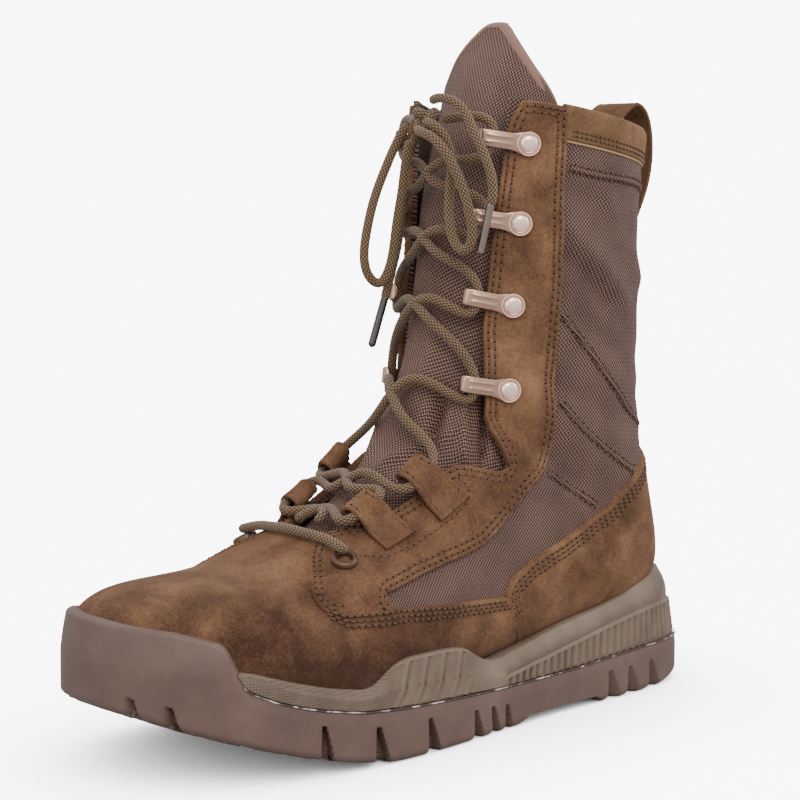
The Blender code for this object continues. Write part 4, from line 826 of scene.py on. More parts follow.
def make_panels():
    """Vamp, both eyestays and counter: each panel runs between two edge turns, which come
    from its table; sections are closer where an edge turns a corner."""
    toe = 1.3 * np.linspace(0.0, 1.0, 32) ** 2
    s = np.concatenate((toe, np.linspace(1.34, 4.18, 56), np.linspace(4.19, 4.38, 40),
                        np.linspace(4.41, 6.8, 48)))
    edge = fair(VAMP_ROWS, s, 0.03)
    panel("suede_vamp", s, edge, 2 - edge, VAMP_HIGH, 130, SUEDE, "vamp", BAND_ROWS_AT,
          fixed=True)
    low_end = 3.18 + 0.8 * np.linspace(0.0, 1.0, 34) ** 1.7
    s = np.concatenate((low_end, np.linspace(4.01, 9.0, 110), np.linspace(9.06, 15.3, 76)))
    front, back = read_at(s, EYESTAY_ROWS[:, 0], EYESTAY_ROWS[:, 1:]).T
    panel("suede_eyestay_outer", s, front, back, STAY_HIGH, 18, SUEDE, "eyestay_lateral",
          STAY_ROWS_AT, True)
    panel("suede_eyestay_inner", s, -back, -front, STAY_HIGH, 18, SUEDE, "eyestay_medial",
          STAY_ROWS_AT, True)
    s = np.linspace(6.15, 11.0, 140)
    edge = fair(COUNTER_ROWS, s, 0.05)
    panel("suede_counter", s, edge, 2 - edge, COUNTER_HIGH, 66, SUEDE, "heel_counter",
          BAND_ROWS_AT)


# drop below the collar plane and height over the wall, from the cuff's foot over the rim inside
CUFF_PROFILE = np.array((
    (13.0, -0.2), (13.05, 0.8), (12.8, 1.2), (12.2, 1.45), (11.2, 1.3), (10.2, 1.45),
    (9.3, 1.3), (8.4, 1.5), (5.0, 1.7), (2.0, 1.8), (0.4, 1.5), (-0.7, 0.8), (-1.1, -0.4),
    (-1.2, -1.4), (-0.8, -2.8), (0.4, -3.6), (2.5, -3.9), (7.0, -3.9), (10.5, -3.7),
    (11.2, -3.0), (11.3, -2.0)))
CUFF_OVERLAP = 0.012
PIPING_DROP = 13.5
PIPING_R = 0.5
PIPING_HIGH = 0.25


def make_cuff():
    """The collar's cuff: its profile carried round the boot along the collar plane."""
    t = np.linspace(CUFF_TURN - CUFF_OVERLAP, 2 - CUFF_TURN + CUFF_OVERLAP, 150)
    rows = []
    for drop, out in CUFF_PROFILE:
        s = collar_section((t + 1) % 2 - 1, drop)
        rows.append(last(s, t, out + relief(last(s, t))))
    points = np.array(rows)
    ends = points.mean(axis=0)
    points = np.concatenate((np.broadcast_to(points[:, :1].mean(axis=0), (len(rows), 1, 3)),
                             points, np.broadcast_to(ends[-1], (len(rows), 1, 3))), axis=1)
    count = points.shape[1]
    make_mesh("suede_cuff", points, grid_quads(len(rows), count, cyclic_rows=True), CUFF_SUEDE,
              "collar_cuff")
    s = collar_section((t + 1) % 2 - 1, PIPING_DROP)
    tube("cuff_piping", last(s, t, PIPING_HIGH + relief(last(s, t))), PIPING_R, PIPING,
         "collar_cuff", 1.0, 8)


# ---- Stitches --------------------------------------------------------------------------------
STITCH_PITCH = 3.1
STITCH_LENGTH = 2.3
STITCH_RADIUS = 0.42
HOLE_LENGTH = 0.75
HOLE_WIDTH = 0.55
CUFF_ROWS_AT = (11.2, 9.3)
CUFF_HIGH = 1.45
CUFF_PITCH = 2.4
# the row of stitches that runs under the lace tabs' roots: section and turn
TAB_LINE = np.array((
    (4.4, 0.235), (4.85, 0.278), (5.45, 0.289), (6.05, 0.293), (6.55, 0.296), (6.88, 0.288),
    (7.02, 0.265), (7.04, 0.235)))
stitch_places = []


def move_on_skin(s, t, step):
    """The section and turn reached by a small step in mm along the surface (least squares)."""
    by_t = (last(s, t + 0.002) - last(s, t - 0.002)) / 0.004
    by_s = (last(s + 0.02, t) - last(np.maximum(s - 0.02, 0.0), t)) / 0.04
    tt = np.sum(by_t * by_t, axis=-1)
    ss = np.sum(by_s * by_s, axis=-1)
    ts = np.sum(by_t * by_s, axis=-1)
    wt = np.sum(by_t * step, axis=-1)
    ws = np.sum(by_s * step, axis=-1)
    det = tt * ss - ts * ts
    return s + (tt * ws - ts * wt) / det, t + (ss * wt - ts * ws) / det


def even_route(s, t, spacing=1.0):
    """Sections and turns of a route at an even spacing in mm."""
    points = last(s, t)
    run = run_along(points)
    count = max(3, int(run[-1] / spacing) + 1)
    at = np.linspace(0.0, run[-1], count)
    return np.interp(at, run, s), np.interp(at, run, t)


def soften(values, rounds):
    """Mean of neighbours, some rounds, with the ends held."""
    for _ in range(rounds):
        values = np.concatenate((values[:1], (values[:-2] + 2 * values[1:-1] + values[2:]) / 4,
                                 values[-1:]))
    return values


def inset_route(s, t, middle_t, distance, rounds=12):
    """A route moved along the surface towards the side where middle_t lies."""
    s, t = even_route(s, t)
    s = soften(s, rounds)
    t = soften(t, rounds)
    place, _, _, normal = skin_frame(s, t)
    run = unit(np.gradient(place, axis=0))
    across = unit(np.cross(normal, run))
    centre = last(s, np.broadcast_to(middle_t(s), s.shape))
    across *= np.sign(np.sum(across * (centre - place)))
    s, t = move_on_skin(s, t, across * distance)
    return soften(s, 6), soften(t, 6)


def sew(s, t, height, pitch=STITCH_PITCH):
    """Notes the middle, run, side and normal of each stitch along a route."""
    points = skin(s, t, height)
    run = run_along(points)
    count = int(run[-1] / pitch)
    if count < 2:
        return
    at = (np.arange(count) + 0.5) * run[-1] / count
    height = np.interp(at, run, np.broadcast_to(height, run.shape))
    s_at = np.interp(at, run, s)
    t_at = np.interp(at, run, t)
    place = skin(s_at, t_at, height)
    tangent = unit(read_at(at + 0.5, run, points) - read_at(at - 0.5, run, points))
    normal = skin_frame(s_at, t_at)[3]
    normal = unit(normal - tangent * np.sum(normal * tangent, axis=1, keepdims=True))
    stitch_places.append((place, tangent, np.cross(normal, tangent), normal))


def scatter(name, shape, shift, places, look):
    """Copies of a small closed grid shape at every place, as one mesh."""
    place, run, side, normal = (np.concatenate([group[k] for group in places]) for k in range(4))
    rows, columns = shape.shape[:2]
    flat = shape.reshape(1, -1, 3)
    points = (place[:, None] + run[:, None] * (flat[..., 0:1] + shift) + side[:, None]
              * flat[..., 1:2] + normal[:, None] * flat[..., 2:3])
    quads = grid_quads(rows, columns, cyclic_columns=True)
    offsets = (np.arange(len(place)) * rows * columns)[:, None, None]
    return make_mesh(name, points.reshape(-1, 3), (quads[None] + offsets).reshape(-1, 4), look,
                     weld=False)


def bead(length, width, height, rows, columns, sag=0.0):
    """A closed bean: circles of radius sqrt(1 - x^2) along its length, sagging at its ends."""
    x = np.sin(np.linspace(-math.pi / 2, math.pi / 2, rows))[:, None]
    angle = (2 * math.pi * np.arange(columns) / columns)[None, :]
    radius = np.sqrt(np.maximum(1 - x**2, 0.0004))
    return np.stack((x * length / 2 + 0 * angle, radius * np.cos(angle) * width,
                     radius * np.sin(angle) * height - sag * x**2), axis=-1)


def sew_everything():
    """Rows of stitches along the panels' edges, the nylon's seams and the lace tabs' line."""
    for side in (1, -1):
        front = EYESTAY_ROWS[::-1, :2]
        back = EYESTAY_ROWS[:, (0, 2)]
        top = (15.2, EYESTAY_ROWS[-1, 1:].mean())
        edge = np.concatenate(((top,), front, back, (top,)))
        s = below_collar(edge[:, 0], edge[:, 1] * side)
        s_in = EYESTAY_ROWS[:, 0]
        middle = EYESTAY_ROWS[:, 1:].mean(axis=1) * side
        for distance in STAY_ROWS_AT:
            run_s, run_t = inset_route(s, edge[:, 1] * side,
                                       lambda at: np.interp(at, s_in, middle), distance, 4)
            # the stay's foot lies under the vamp's band, so it has no stitches of its own
            foot = ((run_s < 4.32) & (np.abs(run_t) > 0.36)
                    & ((run_s < 3.98) | (np.abs(run_t) > 0.412)))
            cut = np.flatnonzero(foot)
            for part in (slice(0, cut[0]), slice(cut[-1] + 1, None)):
                sew(run_s[part], run_t[part], STAY_HIGH)
        band_s, band_t = through(BAND_LINE).T
        for distance in BAND_ROWS_AT:
            down = band_t + (distance - BAND_ROWS_AT[0]) / girth_at(band_s)
            over_foot = STAY_HIGH - (STAY_HIGH - VAMP_HIGH) * ease((band_s - 4.2) / 0.3)
            route = even_route(band_s, down * side)
            sew(*route, np.interp(route[0], band_s, over_foot) + 0.1)
        for distance in BAND_ROWS_AT:
            edge = COUNTER_ROWS[:-1]
            s_c, t_c = inset_route(edge[:, 0], edge[:, 1] * side,
                                   lambda at: np.full(at.shape, side * 0.99), distance)
            sew(s_c, t_c, COUNTER_HIGH)
        line_s, line_t = even_route(TAB_LINE[:, 0], side * TAB_LINE[:, 1])
        sew(line_s, soften(line_t, 8), STAY_HIGH)
        turns = np.linspace(CUFF_TURN + 0.005, 0.999, 60) * side
        for drop in CUFF_ROWS_AT:
            sew(collar_section(turns, drop), turns, CUFF_HIGH, CUFF_PITCH)
    for route in seam_routes():
        for distance in (-SEAM_ROW_AT, SEAM_ROW_AT):
            s_r, t_r = even_route(*route)
            place, _, _, normal = skin_frame(s_r, t_r)
            across = unit(np.cross(normal, unit(np.gradient(place, axis=0))))
            sew(*move_on_skin(s_r, t_r, across * distance), 0.1)
    stitch = bead(STITCH_LENGTH, STITCH_RADIUS, STITCH_RADIUS, 5, 5, 0.3)
    hole = bead(HOLE_LENGTH, HOLE_WIDTH, 0.16, 4, 5)
    scatter("sewing_thread", stitch, 0.0, stitch_places, THREAD)
    scatter("needle_holes", hole, STITCH_PITCH / 2, stitch_places, SHADE)


# Seams across the nylon: section and turn along each
SEAM_ROWS = (
    ((14.05, 0.39), (14.05, 0.505), (14.1, 0.66), (14.1, 0.83), (14.1, 0.995)),
    ((11.6, 0.385), (11.25, 0.505), (10.95, 0.65), (10.93, 0.75), (10.93, 0.80)),
    ((9.97, 0.385), (9.8, 0.51), (9.93, 0.67), (9.95, 0.685)),
    ((8.48, 0.39), (8.6, 0.475), (8.7, 0.55)),
)
SEAM_HALF = 1.0
SEAM_HIGH = 0.75
SEAM_ROW_AT = 1.5


def seam_routes():
    """Each seam on both sides, as smooth runs of sections and turns."""
    routes = []
    for rows in SEAM_ROWS:
        smooth = through(np.array(rows))
        for side in (1, -1):
            routes.append((smooth[:, 0], smooth[:, 1] * side))
    return routes


def make_seams():
    """Lapped seams: a low rounded ridge carried along each seam."""
    angle = np.linspace(0.0, math.pi, 9)
    profile = np.stack((np.cos(angle) * SEAM_HALF, np.sin(angle) * SEAM_HIGH), axis=1)
    profile = np.concatenate((profile, ((-SEAM_HALF, -0.4), (SEAM_HALF, -0.4))))
    vertices = []
    quads = []
    count = 0
    for route in seam_routes():
        s, t = even_route(*route, 1.5)
        place = skin(s, t)
        normal = skin_frame(s, t)[3]
        across = unit(np.cross(normal, unit(np.gradient(place, axis=0))))
        points = pinched(carried(profile, place, across, normal))
        vertices.append(points.reshape(-1, 3))
        quads.append(grid_quads(*points.shape[:2], cyclic_columns=True, offset=count))
        count += points.shape[0] * points.shape[1]
    vertices = np.concatenate(vertices)
    make_mesh("nylon_seams", vertices, np.concatenate(quads), NYLON,
              uv=vertices[:, 1:] * MM)


# ---- Tongue ----------------------------------------------------------------------------------
# section, turn, section, turn, half width mm, height of each fold of the tongue
TONGUE_FOLDS = np.array((
    (6.5, 0.03, 8.0, 0.16, 2.4, 3.6),
    (6.9, 0.14, 8.6, 0.09, 2.4, -6.5),
    (7.3, 0.23, 8.95, 0.13, 2.2, 4.5),
    (7.7, 0.26, 9.15, 0.18, 1.9, -5.5),
    (6.4, -0.02, 7.9, -0.10, 2.8, 2.4),
    (8.2, 0.02, 10.2, 0.06, 3.6, 1.2),
    (7.0, -0.20, 9.0, -0.10, 2.6, -3.0),
    (5.4, 0.08, 6.3, 0.0, 3.0, -1.8),
    (9.4, -0.12, 12.4, -0.16, 3.0, -1.6),
    (10.6, -0.05, 13.2, -0.02, 6.0, 1.4),
    (11.0, 0.08, 14.0, 0.10, 5.0, -1.0),
))
TONGUE_TOP = 15.95
# mm per section at the tongue's top
TONGUE_STEP = 26.0
TONGUE_ROUND = 2.4
BINDING_FROM = 14.3


def tongue_skin(s, t, depth):
    """Places on the tongue: the last's surface sunk, bulged in the middle and leant back."""
    s, t, depth = np.broadcast_arrays(s, t, depth)
    throat = np.interp(s, THROAT_ROWS[:, 0], THROAT_ROWS[:, 1])
    rise = TONGUE_BULGE * np.maximum(0.0, 1.0 - (t / throat) ** 2)
    base = last(s, t)
    lift = np.zeros(s.shape)
    for s0, t0, s1, t1, width, height in TONGUE_FOLDS:
        share, distance = to_line(base, *last(np.array((s0, s1)), np.array((t0, t1))))
        taper = ease(4 * share) * ease(4 * (1 - share)) * 0.6 + 0.4
        lift += height * np.exp(-np.abs(distance / width) ** 1.6) * taper
    place = last(s, t, -TONGUE_UNDER + rise - depth + lift)
    lean = np.clip((place[..., 2] - TONGUE_LEAN_FROM) / (TONGUE_LEAN_TO - TONGUE_LEAN_FROM),
                   0.0, 1.3)
    place[..., 1] += (TONGUE_LEAN * lean**1.5
                      * (1.0 - 0.8 * np.minimum(1.0, np.abs(t) / 0.37) ** 2))
    return place


def tongue_half(s):
    """Half width of the tongue in turns at sections s."""
    return fair(TONGUE_ROWS, s, 0.08)


def make_tongue():
    """Tongue: a pad whose two faces stand its thickness apart and close in a quarter circle
    at its edges; a folded tape is carried round its rim above the collar."""
    s = np.concatenate((np.linspace(4.4, 14.0, 166), np.linspace(14.04, TONGUE_TOP, 40)))
    half = np.maximum(tongue_half(s), 0.03)
    across = 0.5 * crowd(80) + 0.5 * np.linspace(-1.0, 1.0, 80)
    t = half[:, None] * across[None, :]
    distance = (1 - np.abs(across))[None, :] * (half * girth_at(s))[:, None]
    end = (TONGUE_TOP - s)[:, None] * TONGUE_STEP
    round_off = (1 - quarter(np.minimum(distance, end), TONGUE_ROUND)) * TONGUE_THICK / 2
    rows = s[:, None] + 0 * t
    upper = tongue_skin(rows, t, round_off)
    lower = tongue_skin(rows, t, TONGUE_THICK - round_off)
    spine = last(s, 0.0)
    run = run_along(spine)
    uv = np.stack((t * girth_at(s)[:, None], run[:, None] + 0 * t), axis=-1) * MM
    slab("nylon_tongue", lower, upper, TONGUE_NYLON, "tongue", uv)

    rim_s = np.linspace(BINDING_FROM, 15.93, 60)
    rim_t = np.maximum(tongue_half(rim_s), 0.03)
    top_t = np.linspace(rim_t[-1], -rim_t[-1], 12)[1:-1]
    s = np.concatenate((rim_s, np.full(10, 15.93), rim_s[::-1]))
    t = np.concatenate((rim_t, top_t, -rim_t[::-1]))
    rim = even_path(tongue_skin(s, t, TONGUE_THICK / 2), 1.5)
    rim = np.stack([soften(rim[:, k], 4) for k in range(3)], axis=1)
    tangent = unit(np.gradient(rim, axis=0))
    centre = tongue_skin(np.array(14.2), np.array(0.0), TONGUE_THICK / 2)
    inward = centre - rim
    inward = unit(inward - tangent * np.sum(inward * tangent, axis=1, keepdims=True))
    normal = np.cross(tangent, inward)
    half = TONGUE_THICK / 2
    # distance inward from the rim, and height over the tongue's middle
    profile = ((-0.7, 0.0), (-0.55, 1.0), (0.0, 0.7 * half), (0.8, half + 0.1),
               (1.8, half + 0.35), (2.7, half + 0.3), (3.0, half - 0.3), (3.0, 0.3 - half),
               (2.7, -half - 0.3), (1.8, -half - 0.35), (0.8, -half - 0.1), (0.0, -0.7 * half),
               (-0.55, -1.0))
    points = pinched(carried(np.array(profile)[None], rim, inward, normal))
    make_mesh("tongue_binding_tape", points,
              grid_quads(len(rim), len(profile), cyclic_columns=True), BINDING,
              "tongue_binding")


BED_THICK = 4.6
BED_CUP = 1.6
BED_LOW = 0.5


def make_footbed():
    """Footbed: the inner wall's floor raised by the bed's thickness, cupped at its edges."""
    s = np.linspace(0.25, 9.0, 60)
    t = np.linspace(0.60, 1.40, 40)
    rows, turns = np.meshgrid(s, t, indexing="ij")
    cup = BED_THICK - BED_CUP * ((turns - 1) / 0.4) ** 4
    upper = last(rows, turns, -WALL - cup)
    lower = last(rows, turns, -WALL - BED_LOW)
    slab("felt_footbed", lower, upper, LINING, "insole")


# ---- The sole --------------------------------------------------------------------------------
SOLE_TOE_Y = -152.0
SOLE_HEEL_Y = 141.5
SOLE_MIDDLE_Y = -1.0
SOLE_TOE_N = 3.3
SOLE_HEEL_N = 4.2
# y, lateral x, medial x
SOLE_EDGES = np.array((
    (-152.0, 40.0, -44.0), (-135.0, 48.8, -54.2), (-120.0, 53.1, -57.7), (-105.0, 55.7, -58.5),
    (-90.0, 56.5, -57.5), (-60.0, 55.4, -53.4), (-25.0, 52.5, -47.5), (15.0, 46.0, -41.0),
    (55.0, 41.0, -39.5), (95.0, 40.0, -40.5), (143.0, 39.0, -40.5)))
# y and height: of the tread, the rubber's joint with the foam, and the foam's rim
TREAD_Z = np.array((
    (-152.0, 27.5), (-135.0, 21.0), (-120.0, 16.0), (-105.0, 11.5), (-90.0, 7.3), (-75.0, 3.7),
    (-60.0, 1.0), (-48.0, 0.0), (118.0, 0.0), (142.0, 3.0)))
JOINT_Z = np.array((
    (-117.0, 36.5), (-114.0, 33.8), (-105.5, 30.0), (-95.5, 27.0), (-85.0, 24.5),
    (-68.0, 21.4), (-49.0, 20.0),
    (-26.0, 18.9), (12.0, 17.2), (39.0, 16.7), (60.0, 17.0), (78.0, 18.1), (100.0, 19.2)))
RIM_Z = np.array((
    (-117.5, 41.2), (-100.0, 36.0), (-85.0, 32.1), (-66.0, 28.7), (-60.0, 32.0),
    (-54.0, 36.5), (-46.0, 38.2), (-25.0, 38.2), (-14.0, 37.0), (-5.0, 32.0), (2.0, 28.8),
    (9.0, 28.4), (37.0, 33.0), (57.0, 36.4), (75.0, 38.9), (91.0, 41.6), (104.0, 44.7),
    (116.0, 47.4), (128.0, 49.0)))
# y and inset from the plan outline
RIM_INSET = np.array((
    (-60.0, 3.0), (-50.0, 1.5), (-15.0, 1.5), (0.0, 2.5), (60.0, 2.5), (100.0, 4.0),
    (125.0, 7.0), (141.0, 8.0)))
# the line where the foam's lower band steps in
BAND_Z = np.array((
    (-117.5, 40.0), (-107.0, 35.8), (-100.0, 32.6), (-85.0, 28.4), (-68.0, 25.0), (-46.0, 27.0),
    (-14.0, 26.0), (8.0, 20.0), (14.0, 20.5), (40.0, 23.9), (61.0, 27.4), (79.0, 30.6),
    (94.0, 32.9), (108.0, 34.3)))
BAND_INSET = np.array(((60.0, 0.6), (100.0, 1.0), (125.0, 2.4), (141.0, 3.0)))
# the rubber's top edge over the toe, and how far it leans in
BUMPER_Z = np.array((
    (-152.0, 57.5), (-139.0, 55.7), (-132.0, 53.7), (-125.0, 51.5), (-122.5, 48.8),
    (-120.5, 44.0), (-117.0, 36.5)))
BUMPER_LEAN = np.array(((-125.0, 2.5), (-122.5, 0.5)))
OUTSOLE_TOP = np.concatenate((BUMPER_Z[:-1], JOINT_Z))
MIDSOLE_FRONT_Y = -119.3
WALL_TOP_Z = 45.0
ARCH_LIFT = 3.2
ARCH_Y = np.array((20.0, 27.0, 70.0, 77.0))
# y, width, height and lean of each notch between the lugs
NOTCHES = np.array((
    (-147.0, 2.5, 7.0, 0.5), (-137.5, 3.5, 8.0, 1.0), (-85.0, 5.0, 13.0, 2.0),
    (-59.0, 6.5, 14.0, 3.0), (-32.0, 6.5, 14.0, 3.5), (-5.5, 5.5, 12.0, 3.0),
    (5.5, 4.5, 11.5, 3.0), (14.0, 3.8, 10.5, 2.5), (83.0, 8.0, 12.5, 4.0),
    (96.0, 8.5, 12.5, 4.0), (111.5, 9.0, 12.5, 4.0)))
NOTCH_DEPTH = 4.5
SOLE_ROUND = 3.0
GROOVES_Y = np.array((-137.5, -111.0, -85.0, -59.0, -32.0, -5.5, 83.0, 96.0, 111.5))
GROOVE_DEPTH = 3.5
GROOVE_BEND = 7.0
TREAD_LINES_Y = ((-122.0, 8.0), (84.0, 126.0))
TREAD_LINE_SHARE = 0.173
TREAD_LINE_DEPTH = 3.1
SIPE_DEPTH = 1.6
BAND_FOOT_INSET = 0.9
RIDGES_Y = np.array((-50.0, -40.0, -30.0, -20.0, -11.0))
RIB_PITCH = 4.6
RIB_DEPTH = 1.6


def column(rows, y, width=0.0):
    """Second column of a table at a place, its corners rounded over some width."""
    if not width:
        return np.interp(y, rows[:, 0], rows[:, 1])
    steps = np.linspace(-width, width, 7)
    return sum(np.interp(y + k, rows[:, 0], rows[:, 1]) for k in steps) / len(steps)


def outline(angle, inset):
    """The sole's plan outline: superelliptic ends between splined edges; 0 is the toe."""
    cosine = np.cos(angle)
    sine = np.sin(angle)
    end_n = np.where(cosine > 0, SOLE_TOE_N, SOLE_HEEL_N)
    reach = np.where(cosine > 0, SOLE_MIDDLE_Y - SOLE_TOE_Y, SOLE_HEEL_Y - SOLE_MIDDLE_Y)
    y = SOLE_MIDDLE_Y - np.sign(cosine) * (reach - inset) * np.abs(cosine) ** (2 / end_n)
    edges = spline(SOLE_EDGES[:, 0], SOLE_EDGES[:, 1:], y)
    half = (edges[..., 0] - edges[..., 1]) / 2 - inset
    x = edges.mean(axis=-1) + np.sign(sine) * half * np.abs(sine) ** (2 / end_n)
    return x, y


def even_angles(spacing):
    """Outline angles at an even spacing in mm, starting at the toe, and the whole length."""
    fine = np.linspace(0.0, 2 * math.pi, 8001)
    x, y = outline(fine, 0.0)
    run = np.concatenate(([0.0], np.cumsum(np.hypot(np.diff(x), np.diff(y)))))
    count = 2 * int(run[-1] / spacing / 2)
    return np.interp(np.arange(count) * run[-1] / count, run, fine), run[-1]


def notch_cut(y, height, tread):
    """Depth of the V notches between the lugs: wide at the tread and closing upward."""
    cut = np.zeros(np.broadcast(y, height).shape)
    for middle, width, tall, lean in NOTCHES:
        over = (height - (tread - 2.0)) / (tall + 2.0)
        half = (width / 2 + 0.3) * (1 - over) + 0.4 * over
        away = np.abs(y - middle + lean * over)
        cut = np.maximum(cut, ease((half + 0.6 - away) / 1.2) * ease((1.0 - over) / 0.05))
    return cut * NOTCH_DEPTH


def tread_cut(x, y):
    """Depth of the tread's grooves: bent ones across and straight ones along, with a fine
    second set of sipes half a lug apart."""
    depth = np.zeros(x.shape)
    bent = y + GROOVE_BEND * (1 - np.abs(x) / 62.0)
    for middle in GROOVES_Y:
        depth = np.maximum(depth, GROOVE_DEPTH * ease((2.3 - np.abs(bent - middle)) / 0.6))
    for middle in (GROOVES_Y[:-1] + GROOVES_Y[1:]) / 2:
        if middle < 0 or middle > 90:
            depth = np.maximum(depth, SIPE_DEPTH * ease((1.0 - np.abs(bent - middle)) / 0.5))
    edges = spline(SOLE_EDGES[:, 0], SOLE_EDGES[:, 1:], y)
    wide = edges[..., 0] - edges[..., 1]
    off = np.abs(x - edges.mean(axis=-1))
    for first, final in TREAD_LINES_Y:
        inside = (y > first) & (y < final)
        line = TREAD_LINE_DEPTH * ease((2.0 - np.abs(off - TREAD_LINE_SHARE * wide)) / 0.6)
        depth = np.maximum(depth, np.where(inside, line, 0.0))
    return depth


FOOT_STEP = 1.0
FOOT_START = np.array((-160.0, 10.0))
FOOT_CELLS = (320, 100)


def foot_table():
    """Half width of the suede's outside on a grid of places and heights, per side."""
    s, t = np.meshgrid(np.linspace(0.0, 10.5, 1600), np.linspace(0.2, 0.9999, 420), indexing="ij")
    tables = {}
    for side in (1, -1):
        points = last(s, t * side, 1.2).reshape(-1, 3)
        cell = ((points[:, 1:] - FOOT_START) / FOOT_STEP + 0.5).astype(int)
        wide = np.zeros(FOOT_CELLS)
        inside = (cell < FOOT_CELLS).all(axis=1)
        np.maximum.at(wide, (cell[inside, 0], cell[inside, 1]), np.abs(points[inside, 0]))
        tables[side] = wide
    return tables


FOOT = foot_table()
INSETS = np.arange(0.0, 30.0, 0.25)


def foot_inset(angle, height, least=0.0):
    """Inset at which the plan outline, carried inward, meets the foot at a height."""
    x, y = outline(angle[:, None], INSETS[None, :])
    i = np.clip((y - FOOT_START[0]) / FOOT_STEP + 0.5, 0, FOOT_CELLS[0] - 1).astype(int)
    j = np.clip((height[:, None] - FOOT_START[1]) / FOOT_STEP + 0.5, 0, FOOT_CELLS[1] - 1)
    j = j.astype(int)
    wide = np.where(x >= 0, FOOT[1][i, j], FOOT[-1][i, j])
    met = np.abs(x) < wide
    found = np.where(met.any(axis=1), INSETS[np.argmax(met, axis=1)], 8.0)
    found = np.convolve(np.pad(found, 4, mode="edge"), np.ones(9) / 9, mode="valid")
    return np.maximum(found, least)


def outsole_top(y):
    """Height of the rubber's top edge at places along the sole."""
    return column(OUTSOLE_TOP, y, 0.8)


def make_outsole():
    """Rubber outsole: rings round the plan outline, from the middle of the tread out to its
    rounded edge, up the lugged wall, over the lip and down inside; the two middle rings meet
    along the tread's middle line, and the cut of each place is taken from its height."""
    angle, _ = even_angles(0.75)
    count = len(angle)
    mirror = (-np.arange(count)) % count
    y0 = outline(angle, 0.0)[1]
    tread = column(TREAD_Z, y0, 3.0)
    top = outsole_top(y0)
    lean = column(BUMPER_LEAN, y0)
    rings = []
    for share in np.linspace(1.0, 0.0, 44)[:-1]:
        edge_x, y = outline(angle, SOLE_ROUND)
        x = edge_x + (edge_x[mirror] - edge_x) / 2 * share
        low = column(TREAD_Z, y, 3.0)
        lift = tread_cut(x, y) + np.interp(y, ARCH_Y, (0.0, ARCH_LIFT, ARCH_LIFT, 0.0))
        cut = notch_cut(y, 0 * y + low, low) > 1.0
        reach = np.abs(x - edge_x) < NOTCH_DEPTH
        lift = np.where(cut & reach, np.maximum(lift, GROOVE_DEPTH), lift)
        rings.append(np.stack((x, y, low + lift), axis=1))
    arch = np.interp(y0, ARCH_Y, (0.0, ARCH_LIFT, ARCH_LIFT, 0.0))
    steps = np.linspace(0.0, 1.0, 7)
    rows = [(SOLE_ROUND - SOLE_ROUND * math.sin(k), 8.5 * (1 - math.cos(k)) * 0.35)
            for k in steps * math.pi / 2]
    for inset, lift in rows:
        inset = inset + notch_cut(y0, tread + lift, tread)
        x, y = outline(angle, inset)
        rings.append(np.stack((x, y, tread + np.maximum(lift, arch)), axis=1))
    wall = np.minimum(top - 1.5, WALL_TOP_Z)
    for share in np.linspace(0.0, 1.0, 36)[1:]:
        low = tread + np.maximum(rows[-1][1], arch)
        height = low + (top - 0.6 - low) * share
        over = np.clip((height - wall + 4.0) / (top - wall + 4.0), 0.0, 1.0)
        inset = notch_cut(y0, height, tread) + lean * over**1.5
        x, y = outline(angle, inset)
        rings.append(np.stack((x, y, height), axis=1))
    met = foot_inset(angle, top, 1.6 + lean)
    start = lean
    for share, drop in ((0.12, 0.15), (0.3, 0.0), (0.75, 0.0), (1.0, 0.4), (1.0, 3.0),
                        (1.0, 9.0)):
        x, y = outline(angle, start + (met - start) * share)
        drop = np.minimum(drop, (top - tread) * 0.5)
        rings.append(np.stack((x, y, top - drop), axis=1))
    inner_y = rings[-1][:, 1]
    bed = np.maximum(np.minimum(top - 9.0, plantar(inner_y) - 1.0), tread + 4.0)
    for share in (0.0, 0.5, 1.0):
        ring = rings[-1].copy()
        inner = outline(angle, met)[0]
        ring[:, 0] = inner + (inner[mirror] - inner) / 2 * share
        ring[:, 2] = bed
        rings.append(ring)
    points = np.array(rings)
    make_mesh("rubber_outsole", points, grid_quads(len(rings), count, cyclic_columns=True),
              RUBBER, "outsole")


PLANTAR = np.array((
    (-146.0, 36.0), (-128.0, 31.0), (-105.0, 26.0), (-80.0, 22.0), (-50.0, 22.0),
    (-16.0, 24.0), (22.0, 28.0), (60.0, 33.0), (100.0, 36.5), (129.0, 40.0)))


def plantar(y):
    """Height of the last's underside at places along the sole."""
    return spline(PLANTAR[:, 0], PLANTAR[:, 1], np.clip(y, -146.0, 129.0))


